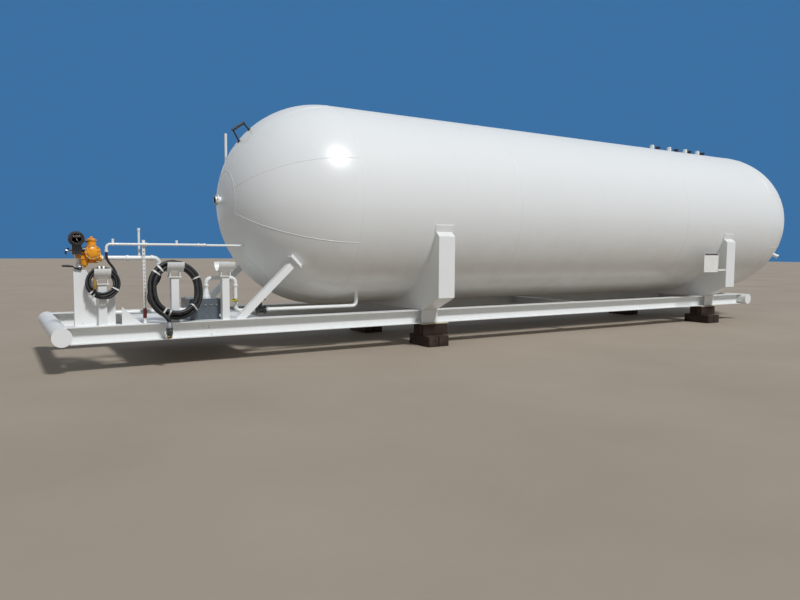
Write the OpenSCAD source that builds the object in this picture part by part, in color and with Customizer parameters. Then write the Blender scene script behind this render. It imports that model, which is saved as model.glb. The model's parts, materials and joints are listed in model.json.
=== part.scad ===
// Skid-mounted horizontal pressure tank with a hose and metering stand.
// Millimetres. +X runs from the hose end to the rear, +Z is up, the ground is at z = 0.
// Positions along the tank are measured from front_line, where the front head meets the shell.

/* [Tank] */
// Outside diameter of the shell
tank_d = 3330; // [3000:10:3400]
// Plate thickness of the shell
shell_t = 18; // [12:1:24]
// Plate thickness of the two heads
head_t = 14; // [10:1:18]
// Length of the shell between the two heads
shell_len = 11100; // [10600:50:12000]
// Clearance between the top of the skid beams and the underside of the shell
tank_rise = 83; // [60:1:120]

/* [Skid] */
// Distance from the front of the shell to the axis of the front bumper
front_reach = 4065; // [4000:5:4200]
// Distance from the front of the shell to the axis of the rear bumper
rear_reach = 10730; // [10400:10:10900]
// Depth of the skid beams
beam_h = 226; // [220:2:260]
// Width of the beam flanges
flange_w = 200; // [180:5:220]
// Thickness of the beam flanges
flange_t = 11; // [8:1:14]
// Thickness of the beam webs
web_t = 8; // [6:1:12]
// Distance of each beam's web from the middle of the skid
beam_y = 1102; // [1080:2:1120]
// Outside diameter of the bumper pipes
bumper_d = 234; // [230:2:270]
// Wall of the bumper pipes
bumper_t = 9; // [6:1:12]
// Length of the bumper pipes
bumper_len = 2616; // [2560:4:2680]
// Diameter of the plates on the bumper ends
end_plate_d = 240; // [236:2:290]
// Thickness of the plates on the bumper ends
end_plate_t = 10; // [6:1:16]
// Depth of the cross members
cross_h = 150; // [120:5:180]
// Width of the cross members
cross_w = 100; // [80:5:120]
// Where the cross members lie, from the front of the shell
cross_x = [-3000, -1500, 5400];
// Where the deck plate begins and ends, from the front of the shell
deck_x = [-3120, -1360];
// Thickness of the deck plate
deck_t = 10; // [6:1:12]

/* [Saddles] */
// Width of each saddle along the tank
saddle_w = 315; // [280:5:360]
// Where the front saddle begins, from the front of the shell
front_saddle_x = 1358; // [1300:2:1400]
// Where the rear saddle begins, from the front of the shell
rear_saddle_x = 9179; // [9000:1:9300]
// Plate thickness of the saddles
saddle_t = 12; // [8:1:16]
// How far the outer faces of a saddle stand out past the shell
saddle_out = 36; // [25:1:55]
// Height of the lower edge of the outer faces above the beams
saddle_up = 229; // [190:1:290]
// Depth of the upper edge of the outer faces below the tank's axis
saddle_drop = 520; // [496:2:560]
// How far the sloping top plate rises to the shell
saddle_rise = 84; // [60:2:110]

/* [Timbers] */
// Height of the lower, crosswise timbers
timber_low = 180; // [140:2:190]
// Width of one lower timber
timber_w = 200; // [150:5:220]
// Length of the lower timbers
timber_len = 620; // [560:10:760]
// Width of one upper timber
upper_w = 150; // [120:5:180]
// Length of the upper timbers along the beam
upper_len = 510; // [450:10:560]
// Where the front stack begins, from the front of the shell
front_stack_x = 1360; // [1330:5:1400]
// Where the rear stack begins, from the front of the shell
rear_stack_x = 9010; // [8960:5:9060]

/* [Braces] */
// Width of the square tube of the braces
brace_w = 102; // [90:2:120]
// Wall of the square tubes
tube_t = 6; // [4:1:10]
// Where a brace's axis meets the top of the beam, from the front of the shell
brace_foot = -1730; // [-1780:5:-1680]
// Slope of the braces above the level
brace_angle = 44; // [41:1:47]
// Distance from a brace's end plate to the head, along the brace
brace_short = 26; // [15:1:60]
// Width and thickness of a brace's end plate
brace_plate = [240, 12];

/* [Hose stand] */
// Width of the square posts
post_w = 102; // [90:2:120]
// Outside diameter of the half pipes that hold the hoses
cradle_d = 273; // [250:1:280]
// Wall of the half pipes
cradle_t = 9; // [6:1:12]
// Length of the half pipes
cradle_len = 224; // [180:4:240]
// Places of the three hose cradles along the skid, from the front of the shell
cradle_x = [-3565, -2650, -1950];
// Heights of the rims of the three cradles
cradle_rim = [1350, 1430, 1430];
// Height of the web plates under each cradle
cradle_foot_h = 60; // [40:5:90]
// Left and right edge of the meter panel, from the front of the shell
panel_x = [-3890, -3400];
// Height of the meter panel above the beam
panel_h = 722; // [700:2:727]
// Thickness of the meter panel and the gussets
panel_t = 12; // [8:1:12]
// Width of the perforated square post
strut_w = 35; // [30:1:38]
// Distance between the holes in the perforated post
strut_pitch = 50; // [40:1:60]
// Diameter of those holes
strut_hole = 18; // [10:1:22]

/* [Pipes] */
// Outside diameter of the liquid pipes
pipe_d = 60.3; // [56:0.1:62]
// Radius of the bends in the liquid pipes
pipe_bend = 76; // [66:1:90]
// Outside diameter of the vapour and vent pipes
thin_d = 33.4; // [30:0.1:36]
// Radius of the bends in the vapour pipes
thin_bend = 50; // [40:1:60]
// Height of the loading pipe
loading_z = 1485; // [1480:1:1495]
// Height of the vapour line
vapor_z = 1666; // [1650:1:1680]
// Length of the valve lever
lever_len = 205; // [180:5:215]

/* [Hoses] */
// Outside diameter of the liquid hose
liquid_d = 60; // [56:1:62]
// Outside diameter of the vapour hose
vapor_d = 32; // [30:1:34]

/* [Hidden] */
$fn = 96;
gap = 0.3;
tank_r = tank_d / 2;
front_line = -(shell_len + tank_r - front_reach - end_plate_d / 2) / 2;
beam_low = 382;
beam_top = beam_low + beam_h;
axis_h = beam_top + tank_rise + tank_r;
saddle_y = tank_r + saddle_out;
saddle_low = beam_top + saddle_up;
saddle_top = axis_h - saddle_drop;
panel_top = beam_top + panel_h;
bumper_z = beam_low + beam_h / 2;
post_front = beam_y + post_w / 2;
white = [0.93, 0.94, 0.94];
steel = [0.55, 0.57, 0.58];
black = [0.09, 0.09, 0.1];
timber = [0.33, 0.24, 0.17];

// Heights and depths of the pipe runs in the stand
riser_x = -3810;
riser_y = -930;
valve_z = 1352;
loading_y = -1020;
strut_y = loading_y - pipe_d / 2 - gap - strut_w / 2;
vapor_y = strut_y - strut_w / 2 - gap - thin_d / 2;
meter_x = -3662;
meter_z = 1560;
drop_x = -3500;
elbow_x = -2905;
// Where the two hoses leave their pipes, and the foot of the sleeve round the thick one
sleeve_top = 1372;
sleeve_low = 1300;
vapor_exit = 1560;
suction_y = -850;
suction_low = 700;
suction_high = 1190;
// Where the vapour line turns inwards, and the line that it then follows to the head
vapor_turn = -2250;
vapor_run_y = -450;
// The pump's housing, and the pipe that rises from its reducer, steps down and runs to the shell
pump_x = [-2420, -1980];
pump_y = [-985, -500];
pump_top = 900;
reducer_h = 110;
suction_x = -2150;
suction_down = -1720;
shell_entry = 300;
valve_x = [-1420, -1260];
riser_low = 750;
// Height of the shell's underside at a distance y from the tank's middle
function shell_under(y) = axis_h - sqrt(tank_r * tank_r - y * y);
// How far forward the front head reaches at (y, z)
function head_front(y, z) = -sqrt(tank_r * tank_r - y * y - (z - axis_h) * (z - axis_h));

// Moves a piece from tank coordinates to the part's own
module at_tank() translate([front_line, 0, 0]) children();
// A flat outline in y and z, made solid along x
module across(x0, len) translate([x0, 0, 0]) rotate([90, 0, 90]) linear_extrude(len) children();
// A flat outline in x and z, made solid along y from y0 towards the far side
module along_y(y0, len) translate([0, y0 + len, 0]) rotate([90, 0, 0]) linear_extrude(len) children();
module rod_x(x0, x1, y, z, d) translate([min(x0, x1), y, z]) rotate([0, 90, 0]) cylinder(d = d, h = abs(x1 - x0));
module rod_y(x, y0, y1, z, d) translate([x, max(y0, y1), z]) rotate([90, 0, 0]) cylinder(d = d, h = abs(y1 - y0));
module rod_z(x, y, z0, z1, d) translate([x, y, min(z0, z1)]) cylinder(d = d, h = abs(z1 - z0));
// A pipe bend in the x-z plane about (cx, cz), from angle a0 through a
module bend_xz(cx, y, cz, r, d, a0, a)
    translate([cx, y, cz]) rotate([90, 0, 0]) rotate([0, 0, a0]) rotate_extrude(angle = a) translate([r, 0])
        circle(d = d, $fn = 48);
// A pipe bend in the x-y plane about (cx, cy), from angle a0 through a
module bend_xy(cx, cy, z, r, d, a0, a)
    translate([cx, cy, z]) rotate([0, 0, a0]) rotate_extrude(angle = a) translate([r, 0]) circle(d = d, $fn = 48);

module i_section(h, w, tf, tw) difference() {
    translate([-w / 2, 0]) square([w, h]);
    for (s = [0, 1]) mirror([s, 0]) translate([tw / 2, tf]) square([w, h - 2 * tf]);
}

module square_tube(w, t, len) linear_extrude(len) difference() {
    square(w, center = true);
    square(w - 2 * t, center = true);
}

// Sweeps a round hose along points that lie near the x-z plane
function unit(v) = v / norm(v);
function heading(p, i) = unit(p[min(i + 1, len(p) - 1)] - p[max(i - 1, 0)]);
function ring(p, i, r, n) = let (t = heading(p, i), a = unit(cross(t, [0, 1, 0])), b = cross(t, a))
    [for (k = [0 : n - 1]) p[i] + r * (cos(360 * k / n) * a + sin(360 * k / n) * b)];
module hose(p, d, n = 10) {
    m = len(p);
    points = [for (i = [0 : m - 1]) each ring(p, i, d / 2, n)];
    sides = [for (i = [0 : m - 2], k = [0 : n - 1])
        [i * n + k, i * n + (k + 1) % n, (i + 1) * n + (k + 1) % n, (i + 1) * n + k]];
    polyhedron(points = points, faces = concat(sides, [[for (k = [n - 1 : -1 : 0]) k]],
        [[for (k = [0 : n - 1]) (m - 1) * n + k]]));
}

// Pressure vessel
module shell() color(white) at_tank() translate([0, 0, axis_h]) rotate([0, 90, 0]) difference() {
    cylinder(r = tank_r, h = shell_len, $fn = 180);
    translate([0, 0, -1]) cylinder(r = tank_r - shell_t, h = shell_len + 2, $fn = 180);
}
module head() rotate_extrude($fn = 180) intersection() {
    difference() {
        circle(r = tank_r, $fn = 180);
        circle(r = tank_r - head_t, $fn = 180);
    }
    square(tank_r + 1);
}
module front_head() color(white) at_tank() translate([0, 0, axis_h]) rotate([0, -90, 0]) head();
module rear_head() color(white) at_tank() translate([shell_len, 0, axis_h]) rotate([0, 90, 0]) head();

// The gauge and its nozzle in the middle of the front head
gauge_rise = 25;
gauge_z = axis_h + gauge_rise;
gauge_seat = sqrt(tank_r * tank_r - gauge_rise * gauge_rise);
module head_gauge() color(white) at_tank() {
    difference() {
        union() {
            rod_x(-gauge_seat - 45, -gauge_seat + 12, 0, gauge_z, 110);
            rod_x(-gauge_seat - 62, -gauge_seat - 45, 0, gauge_z, 170);
        }
        translate([0, 0, axis_h]) sphere(r = tank_r + gap, $fn = 180);
    }
    rod_x(-gauge_seat - 88, -gauge_seat - 62, 0, gauge_z, 130);
}
// A short black rail on two lugs, square to the front head, high on its middle line
rail_angle = [35.5, 44.5];
rail_foot = [for (a = rail_angle) [-tank_r * cos(a), axis_h + tank_r * sin(a)]];
// Tops of its lugs and its two ends: how far behind the head's front, and below its crown
rail_lugs = [[213, 521], [381, 399]];
rail_ends = [[199, 531], [395, 389]];
function on_head(spot) = [spot[0] - tank_r, axis_h + tank_r - spot[1]];
module strut_xz(from, to, d) translate([from[0], 0, from[1]])
    rotate([0, atan2(to[0] - from[0], to[1] - from[1]), 0]) cylinder(d = d, h = norm(to - from));
module head_rail() color(black) at_tank() difference() {
    union() {
        for (a = rail_angle) translate([0, 0, axis_h]) rotate([0, a - 90, 0]) translate([0, 0, tank_r - 20])
            cylinder(d = 60, h = 36);
        for (i = [0, 1]) strut_xz(rail_foot[i], on_head(rail_lugs[i]), 26);
        strut_xz(on_head(rail_ends[0]), on_head(rail_ends[1]), 44);
    }
    translate([0, 0, axis_h]) sphere(r = tank_r + gap, $fn = 480);
}
// A slim upright pipe on the far side of the front head
head_pipe_at = [-0.871 * tank_r, 0.24 * tank_r];
module head_pipe() color(white) at_tank() difference() {
    rod_z(head_pipe_at[0], head_pipe_at[1], axis_h + 0.3 * tank_r, axis_h + 0.685 * tank_r, 42);
    translate([0, 0, axis_h]) sphere(r = tank_r + gap, $fn = 480);
}
module rear_coupling() color(white) at_tank() translate([shell_len, 0, axis_h]) difference() {
    rotate([0, 0, -61]) rotate([0, 118.5, 0]) translate([0, 0, tank_r - 30]) {
        cylinder(d = 88, h = 120);
        translate([0, 0, 120]) cylinder(d = 112, h = 22);
    }
    sphere(r = tank_r + gap, $fn = 180);
}
// Relief valves along the crown: white stacks, each followed by one with a black cap, and how
// far each stands from the rear end of the shell
stack_back = [2396, 1761, 1141, 649];
cap_back = [2182, 1487, 974, 443];
stack_x = [for (back = stack_back) shell_len - back];
cap_x = [for (back = cap_back) shell_len - back];
module on_crown(x, d, h) difference() {
    rod_z(x, 0, axis_h + tank_r - 40, axis_h + tank_r + h, d);
    translate([x - 200, 0, axis_h]) rotate([0, 90, 0]) cylinder(r = tank_r + gap, h = 400, $fn = 180);
}
module relief_stacks() color(white) at_tank() for (x = stack_x) on_crown(x, 90, 130);
module relief_caps() color(black) at_tank() for (x = cap_x) union() {
    on_crown(x, 80, 70);
    rod_z(x, 0, axis_h + tank_r + 70, axis_h + tank_r + 105, 120);
}

// Skid
module beam(side) color(white) at_tank() difference() {
    translate([0, side * beam_y, beam_low]) across(-front_reach, front_reach + rear_reach)
        i_section(beam_h, flange_w, flange_t, web_t);
    for (x = [-front_reach, rear_reach])
        rod_y(x, -bumper_len / 2, bumper_len / 2, bumper_z, bumper_d + 2 * gap);
}
module near_beam() beam(-1);
module far_beam() beam(1);
module bumper(x) color(white) at_tank() {
    difference() {
        rod_y(x, -bumper_len / 2, bumper_len / 2, bumper_z, bumper_d);
        rod_y(x, -bumper_len / 2 - 1, bumper_len / 2 + 1, bumper_z, bumper_d - 2 * bumper_t);
    }
    for (s = [-1, 1]) rod_y(x, s * bumper_len / 2, s * (bumper_len / 2 + end_plate_t), bumper_z, end_plate_d);
}
module front_bumper() bumper(-front_reach);
module rear_bumper() bumper(rear_reach);

// Cross members run between the beam webs, under the deck
deck_z = beam_top - flange_t;
module cross_members() color(white) at_tank() for (x = cross_x)
    translate([x, beam_y - web_t / 2 - gap, deck_z - deck_t - gap - cross_h]) rotate([90, 0, 0])
        linear_extrude(2 * (beam_y - web_t / 2 - gap)) i_section(cross_h, cross_w, 8, 6);
module deck_plate() color(white) at_tank()
    translate([deck_x[0], -beam_y + web_t / 2 + gap, deck_z - deck_t - gap])
        cube([deck_x[1] - deck_x[0], 2 * (beam_y - web_t / 2 - gap), deck_t]);
// Triangular gussets on both beams behind the meter panel
gusset_x = -3330;
gusset_w = 245;
module skid_gussets() color(white) at_tank() for (s = [-1, 1])
    along_y(s * beam_y - panel_t / 2, panel_t) polygon([[gusset_x, beam_top + gap],
        [gusset_x + gusset_w, beam_top + gap], [gusset_x, beam_top + gusset_w - 10]]);

// A diagonal brace from a beam's top to the front head, with a coped shoe behind its end plate
brace_y = beam_y - 22;
brace_from = [brace_foot, brace_y, beam_top - axis_h];
brace_along = [cos(brace_angle), 0, sin(brace_angle)];
brace_mid = -(brace_from * brace_along);
brace_len = brace_mid - sqrt(brace_mid * brace_mid - brace_from * brace_from + tank_r * tank_r) - brace_short;
module brace(side) color(white) at_tank() difference() {
    translate([brace_foot, side * brace_y, beam_top]) rotate([0, 90 - brace_angle, 0]) {
        translate([0, 0, -150]) square_tube(brace_w, tube_t, brace_len + 150);
        translate([-brace_plate[0] / 2, -brace_plate[0] / 2, brace_len])
            cube([brace_plate[0], brace_plate[0], brace_plate[1]]);
        for (s = [-1, 1]) translate([-brace_plate[0] / 2 + 10, s * 40 - 6, brace_len + brace_plate[1]])
            cube([brace_plate[0] - 20, 12, 260]);
    }
    translate([brace_foot - 400, side * beam_y - 300, beam_top + gap - 400]) cube([800, 600, 400]);
    translate([0, 0, axis_h]) sphere(r = tank_r + gap, $fn = 180);
}
module near_brace() brace(-1);
module far_brace() brace(1);

// Saddles: a box of plates, wider than the skid, with sloping tops and undersides
saddle_in = 130;
module saddle_outline() polygon([[beam_y + flange_w / 2, beam_top + gap], [saddle_y, saddle_low],
    [saddle_y, saddle_top], [saddle_y - saddle_in, saddle_top + saddle_rise * saddle_in / 94],
    [0, axis_h], [0, beam_top + gap]]);
module saddle_shape() difference() {
    for (s = [0, 1]) mirror([s, 0]) saddle_outline();
    translate([0, axis_h]) circle(r = tank_r + gap, $fn = 180);
}
// The rim of the box: the outline less itself moved in by one plate
module saddle_rim() difference() {
    saddle_shape();
    intersection() {
        for (s = [0, 1]) mirror([s, 0]) polygon([
            [beam_y + flange_w / 2 - 4, beam_top + saddle_t + gap], [saddle_y - saddle_t, saddle_low + saddle_t * 0.65],
            [saddle_y - saddle_t, saddle_top - saddle_t * 0.35],
            [saddle_y - saddle_in, saddle_top + saddle_rise * saddle_in / 94 - saddle_t * 1.3],
            [0, axis_h], [0, beam_top + saddle_t + gap]]);
        translate([-saddle_y, beam_top]) square([2 * saddle_y, tank_r]);
    }
}
rib_y = [0.3 * beam_y, 0.717 * beam_y, beam_y, (beam_y + saddle_y) / 2];
module saddle(x) color(white) at_tank() {
    for (dx = [0, saddle_w - saddle_t]) across(x + dx, saddle_t) saddle_shape();
    across(x, saddle_w) saddle_rim();
    // upright ribs inside the box
    across(x, saddle_w) intersection() {
        saddle_shape();
        for (s = [-1, 1], y = rib_y) translate([s * y - saddle_t / 2, beam_top]) square([saddle_t, tank_r]);
    }
    // plates that close the side of each beam under the saddle
    for (s = [-1, 1]) translate([x, s * (beam_y + flange_w / 2 + gap + saddle_t / 2) - saddle_t / 2, beam_low + 12])
        cube([saddle_w, saddle_t, beam_h - 12 + gap + 3]);
}
module front_saddle() saddle(front_saddle_x);
module rear_saddle() saddle(rear_saddle_x);

// Timber stacks under both beams: two crosswise below, then two along the beam
upper_h = beam_low - timber_low - 2 * gap;
module stack(x) color(timber) at_tank() for (s = [-1, 1]) {
    for (k = [0, 1])
        translate([x + k * (timber_w + 8), s * (beam_y + 20) - timber_len / 2, 0]) cube([timber_w, timber_len, timber_low]);
    for (k = [-1, 1]) translate([x, s * beam_y + k * (upper_w / 2 + 4) - upper_w / 2, timber_low + gap])
        cube([upper_len, upper_w, upper_h]);
}
module front_timbers() stack(front_stack_x);
module rear_timbers() stack(rear_stack_x);

// Hose stand
module hanger(k) color(white) at_tank() {
    x = cradle_x[k];
    rim = cradle_rim[k];
    head_z = rim - cradle_d / 2 - cradle_foot_h;
    long = k == 0 ? cradle_len - 24 : cradle_len;
    translate([x, -beam_y, beam_top + gap]) square_tube(post_w, tube_t, head_z - 12 - beam_top - gap);
    translate([x - 85, -beam_y - 70, head_z - 12]) cube([170, 70 + post_w / 2, 12]);
    // two webs, cut to the half pipe
    for (dx = [-70, 60]) difference() {
        translate([x + dx, -beam_y - 60, head_z]) cube([10, 60 + post_w / 2, cradle_foot_h + 30]);
        rod_x(x - 200, x + 200, -beam_y, rim, cradle_d - cradle_t);
    }
    difference() {
        rod_x(x - long / 2, x + long / 2, -beam_y, rim, cradle_d);
        rod_x(x - cradle_len, x + cradle_len, -beam_y, rim, cradle_d - 2 * cradle_t);
        translate([x - cradle_len, -beam_y - cradle_d, rim]) cube([2 * cradle_len, 2 * cradle_d, cradle_d]);
    }
}
module vapor_hanger() hanger(0);
module liquid_hanger() hanger(1);
module spare_hanger() hanger(2);

// The panel stands behind the first post and carries the meter
module meter_panel() color(white) at_tank() {
    along_y(-beam_y + post_w / 2 + gap, panel_t) polygon([[panel_x[0], beam_top + gap], [panel_x[0], panel_top],
        [panel_x[0] + 150, panel_top], [panel_x[0] + 210, 1200], [panel_x[1], 980], [panel_x[1], beam_top + gap]]);
    // an edge flange along the free side
    translate([panel_x[0], -beam_y + post_w / 2 + gap, beam_top + gap]) cube([panel_t, 90, panel_top - beam_top - gap]);
    // the shelf under the meter
    translate([panel_x[0], -beam_y + post_w / 2 + gap, panel_top]) cube([40, 90, panel_t]);
}

strut_x = -3035;
strut_top = 1725;
module perforated_post() color(white) at_tank() difference() {
    translate([strut_x, strut_y, beam_top + gap]) square_tube(strut_w, 3, strut_top - beam_top - gap);
    for (z = [beam_top + 60 : strut_pitch : strut_top - 20]) rod_y(strut_x, -1400, -900, z, strut_hole);
}

// Pipework
module riser_pipe() color(white) at_tank() {
    rod_x(riser_x + pipe_bend, pump_x[0] - gap, riser_y, riser_low, pipe_d);
    bend_xz(riser_x + pipe_bend, riser_y, riser_low + pipe_bend, pipe_bend, pipe_d, 180, 90);
    rod_z(riser_x, riser_y, riser_low + pipe_bend, valve_z - 55 - gap, pipe_d);
}
module inlet_valve() color(steel) at_tank() {
    rod_z(riser_x, riser_y, valve_z - 55, valve_z + 55, 74);
    rod_z(riser_x, riser_y, valve_z - 55, valve_z - 38, 96);
    rod_z(riser_x, riser_y, valve_z + 38, valve_z + 55, 96);
    rod_y(riser_x, riser_y, riser_y - 60, valve_z, 50);
    rod_y(riser_x, riser_y - 60, riser_y - 155, valve_z, 16);
    rod_z(riser_x, riser_y, valve_z + 55, meter_z - 80 - gap, pipe_d);
}
// The lever turns on the valve's stem, which points to the near side
lever_y = riser_y - 143;
module valve_lever() color(black) at_tank() difference() {
    union() {
        rod_y(riser_x, lever_y - 5, lever_y + 5, valve_z, 40);
        along_y(lever_y - 4, 8) polygon([[riser_x, valve_z - 13], [riser_x - 60, valve_z - 13],
            [riser_x - 85, valve_z + 14], [riser_x - lever_len, valve_z + 22], [riser_x - lever_len, valve_z + 46],
            [riser_x - 90, valve_z + 38], [riser_x - 62, valve_z + 13], [riser_x, valve_z + 13]]);
        rod_x(riser_x - lever_len - 5, riser_x - lever_len + 70, lever_y, valve_z + 34, 24);
    }
    rod_y(riser_x, lever_y - 20, lever_y + 20, valve_z, 17);
}
// The meter: a round housing with its axis to the near side and an upright strainer beside it
module meter_body() color([0.93, 0.6, 0.12]) at_tank() {
    rod_y(meter_x, -1100, -900, meter_z, 170);
    rod_y(meter_x, -1112, -1100, meter_z, 190);
    rod_y(meter_x, -900, -888, meter_z, 190);
    rod_z(meter_x, -990, meter_z - 130, meter_z + 150, 110);
    rod_z(meter_x, -990, meter_z - 142, meter_z - 130, 150);
    rod_z(meter_x, -990, meter_z + 150, meter_z + 162, 130);
    // inlet branch towards the riser
    translate([riser_x - 45, riser_y - 45, meter_z - 80]) cube([90, 90, 110]);
    rod_x(riser_x, meter_x, riser_y, meter_z - 20, 80);
    // outlet branch towards the loading pipe
    rod_x(meter_x, -3565, loading_y, loading_z, 84);
}
register_x = -3848;
module meter_register() color(black) at_tank() {
    rod_y(register_x, -1150, -1010, 1732, 184);
    rod_y(register_x, -1162, -1150, 1732, 164);
    translate([register_x - 55, -1110, 1530]) cube([110, 100, 130]);
    rod_x(register_x + 50, meter_x - 85 - gap, -1050, 1590, 60);
}
module loading_pipe() color(white) at_tank() {
    rod_x(-3565 + gap, elbow_x, loading_y, loading_z, pipe_d);
    bend_xz(elbow_x, loading_y, loading_z - pipe_bend, pipe_bend, pipe_d, 0, 90);
    rod_z(elbow_x + pipe_bend, loading_y, loading_z - pipe_bend, sleeve_top, pipe_d);
}
vent_x = -3083;
vent_top = 1884;
module vent_pipe() color(white) at_tank() difference() {
    union() {
        rod_z(vent_x, loading_y, loading_z, vent_top - 4, thin_d - 4);
        rod_z(vent_x, loading_y, vent_top - 34, vent_top, thin_d + 6);
    }
    rod_x(vent_x - 120, vent_x + 120, loading_y, loading_z, pipe_d + 2 * gap);
}
module vapor_line() color(white) at_tank() {
    turn_x = vapor_turn;
    run_y = vapor_run_y;
    rod_z(drop_x, vapor_y, vapor_exit, vapor_z - thin_bend, thin_d);
    bend_xz(drop_x + thin_bend, vapor_y, vapor_z - thin_bend, thin_bend, thin_d, 90, 90);
    rod_x(drop_x + thin_bend, turn_x, vapor_y, vapor_z, thin_d);
    bend_xy(turn_x, vapor_y + thin_bend, vapor_z, thin_bend, thin_d, -90, 90);
    rod_y(turn_x + thin_bend, vapor_y + thin_bend, run_y - thin_bend, vapor_z, thin_d);
    bend_xy(turn_x + 2 * thin_bend, run_y - thin_bend, vapor_z, thin_bend, thin_d, 90, 90);
    difference() {
        rod_x(turn_x + 2 * thin_bend, head_front(run_y, vapor_z) + 150, run_y, vapor_z, thin_d);
        translate([0, 0, axis_h]) sphere(r = tank_r + gap, $fn = 180);
    }
    // a tee with a cap near the meter
    rod_z(-3510 + 90, vapor_y, vapor_z, vapor_z + 70, thin_d);
    rod_z(-2610, vapor_y, vapor_z, vapor_z + 60, thin_d);
}

// Pump on the deck
deck_top = deck_z - gap;
module pump_body() color([0.3, 0.34, 0.37]) at_tank() difference() {
    translate([pump_x[0], pump_y[0], deck_top + gap])
        cube([pump_x[1] - pump_x[0], pump_y[1] - pump_y[0], pump_top - deck_top - gap]);
    for (x = pump_x) translate([x, (pump_y[0] + pump_y[1]) / 2, deck_top + 60]) rotate([0, 45, 0])
        cube([40, 600, 40], center = true);
}
module pump_reducer() color(white) at_tank() {
    rod_z(suction_x, suction_y, pump_top + gap, pump_top + 20, 130);
    translate([suction_x, suction_y, pump_top + 20]) cylinder(d1 = 124, d2 = 66, h = reducer_h, $fn = 48);
}
module suction_pipe() color(white) at_tank() {
    rod_z(suction_x, suction_y, pump_top + 20 + reducer_h + gap, suction_high - pipe_bend, pipe_d);
    bend_xz(suction_x + pipe_bend, suction_y, suction_high - pipe_bend, pipe_bend, pipe_d, 90, 90);
    rod_x(suction_x + pipe_bend, suction_down - pipe_bend, suction_y, suction_high, pipe_d);
    bend_xz(suction_down - pipe_bend, suction_y, suction_high - pipe_bend, pipe_bend, pipe_d, 0, 90);
    rod_z(suction_down, suction_y, suction_high - pipe_bend, suction_low + pipe_bend, pipe_d);
    bend_xz(suction_down + pipe_bend, suction_y, suction_low + pipe_bend, pipe_bend, pipe_d, 180, 90);
    rod_x(suction_down + pipe_bend, valve_x[0] - gap, suction_y, suction_low, pipe_d);
    rod_x(valve_x[1] + gap, shell_entry - pipe_bend, suction_y, suction_low, pipe_d);
    bend_xz(shell_entry - pipe_bend, suction_y, suction_low + pipe_bend, pipe_bend, pipe_d, -90, 90);
    difference() {
        rod_z(shell_entry, suction_y, suction_low + pipe_bend, shell_under(suction_y) + 70, pipe_d);
        translate([shell_entry - 200, 0, axis_h]) rotate([0, 90, 0]) cylinder(r = tank_r + gap, h = 400, $fn = 180);
    }
}
module line_valve() color([0.25, 0.27, 0.27]) at_tank() {
    rod_x(valve_x[0], valve_x[1], suction_y, suction_low, 90);
    for (x = [valve_x[0], valve_x[1] - 20]) rod_x(x, x + 20, suction_y, suction_low, 130);
    rod_z((valve_x[0] + valve_x[1]) / 2, suction_y, suction_low, suction_low + 150, 60);
    rod_z((valve_x[0] + valve_x[1]) / 2, suction_y, suction_low + 150, suction_low + 165, 150);
}

// A bare plate on an arm from the rear saddle
sign_y = -saddle_y + 12;
sign_x = rear_saddle_x - 794;
sign_w = 505;
sign_h = 410;
sign_z = saddle_top - 246 - sign_h;
module sign_plate() color(white) at_tank() {
    translate([sign_x, sign_y, sign_z]) cube([sign_w, 4, sign_h]);
    translate([sign_x + 315, sign_y + 4, sign_z + 20]) cube([rear_saddle_x - gap - sign_x - 315, 8, 40]);
}

// Hoses. Each coil is one solid of its outer shape, tilted so that it hangs clear of its post.
liquid_r = 312;
liquid_tilt = 11;
liquid_top = [-1114, 1397];
liquid_drop = 76;
module turns_section(r, turns, layers, d) {
    a = turns * d / 2;
    b = layers * d / 2;
    translate([r, 0]) union() {
        if (layers > 1) square([2 * b - d, 2 * a], center = true);
        if (turns > 1) square([2 * b, 2 * a - d], center = true);
        for (sx = [-1, 1], sy = [-1, 1]) translate([sx * (b - d / 2), sy * (a - d / 2)]) circle(d = d, $fn = 32);
    }
}
module half_coil(r, turns, layers, d) rotate_extrude(angle = 180, $fn = 120) turns_section(r, turns, layers, d);
// drop is how far the lower half of the coil sags below a true circle
module coil(x, top, r, tilt, turns, layers, d, drop = 0)
    translate([x, top[0] - r * sin(tilt), top[1] - r * cos(tilt)]) rotate([-tilt, 0, 0]) rotate([90, 0, 0]) {
        if (drop == 0) rotate_extrude($fn = 120) turns_section(r, turns, layers, d);
        if (drop > 0) {
            half_coil(r, turns, layers, d);
            translate([0, -drop, 0]) rotate([0, 0, 180]) half_coil(r, turns, layers, d);
            rotate([90, 0, 0]) linear_extrude(height = drop) turns_section(r, turns, layers, d);
            translate([0, -drop, 0]) rotate([0, 0, 180]) rotate([90, 0, 0]) linear_extrude(height = drop)
                turns_section(r, turns, layers, d);
        }
    }
module liquid_hose_coil() color(black) at_tank() coil(cradle_x[1], liquid_top, liquid_r, liquid_tilt, 2, 2,
    liquid_d, liquid_drop);
liquid_lead = [[-2829, loading_y, 1300], [-2829, loading_y, 1250], [-2845, -1024, 1195], [-2882, -1033, 1140],
    [-2925, -1048, 1085], [-2960, -1072, 1030], [-2980, -1105, 975], [-2984, -1142, 925], [-2970, -1174, 885]];
module liquid_hose_lead() color(black) at_tank() hose(liquid_lead, liquid_d);
liquid_tail = [[-2866, -1262, 757], [-2822, -1284, 718], [-2785, -1298, 672], [-2769, -1305, 637], [-2769, -1305, 602]];
module liquid_hose_tail() color(black) at_tank() hose(liquid_tail, liquid_d);
module liquid_hose_valve() color(steel) at_tank() translate([-2769, -1305, 0]) {
    rod_z(0, 0, 545, 602 - gap, 70);
    rod_z(0, 0, 460, 545, 84);
    rod_y(0, -75, 0, 505, 30);
    rod_z(0, 0, 410, 460, 62);
}
module hose_sleeve() color(black) at_tank() rod_z(elbow_x + pipe_bend, loading_y, sleeve_low, sleeve_top - gap, 74);

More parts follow.
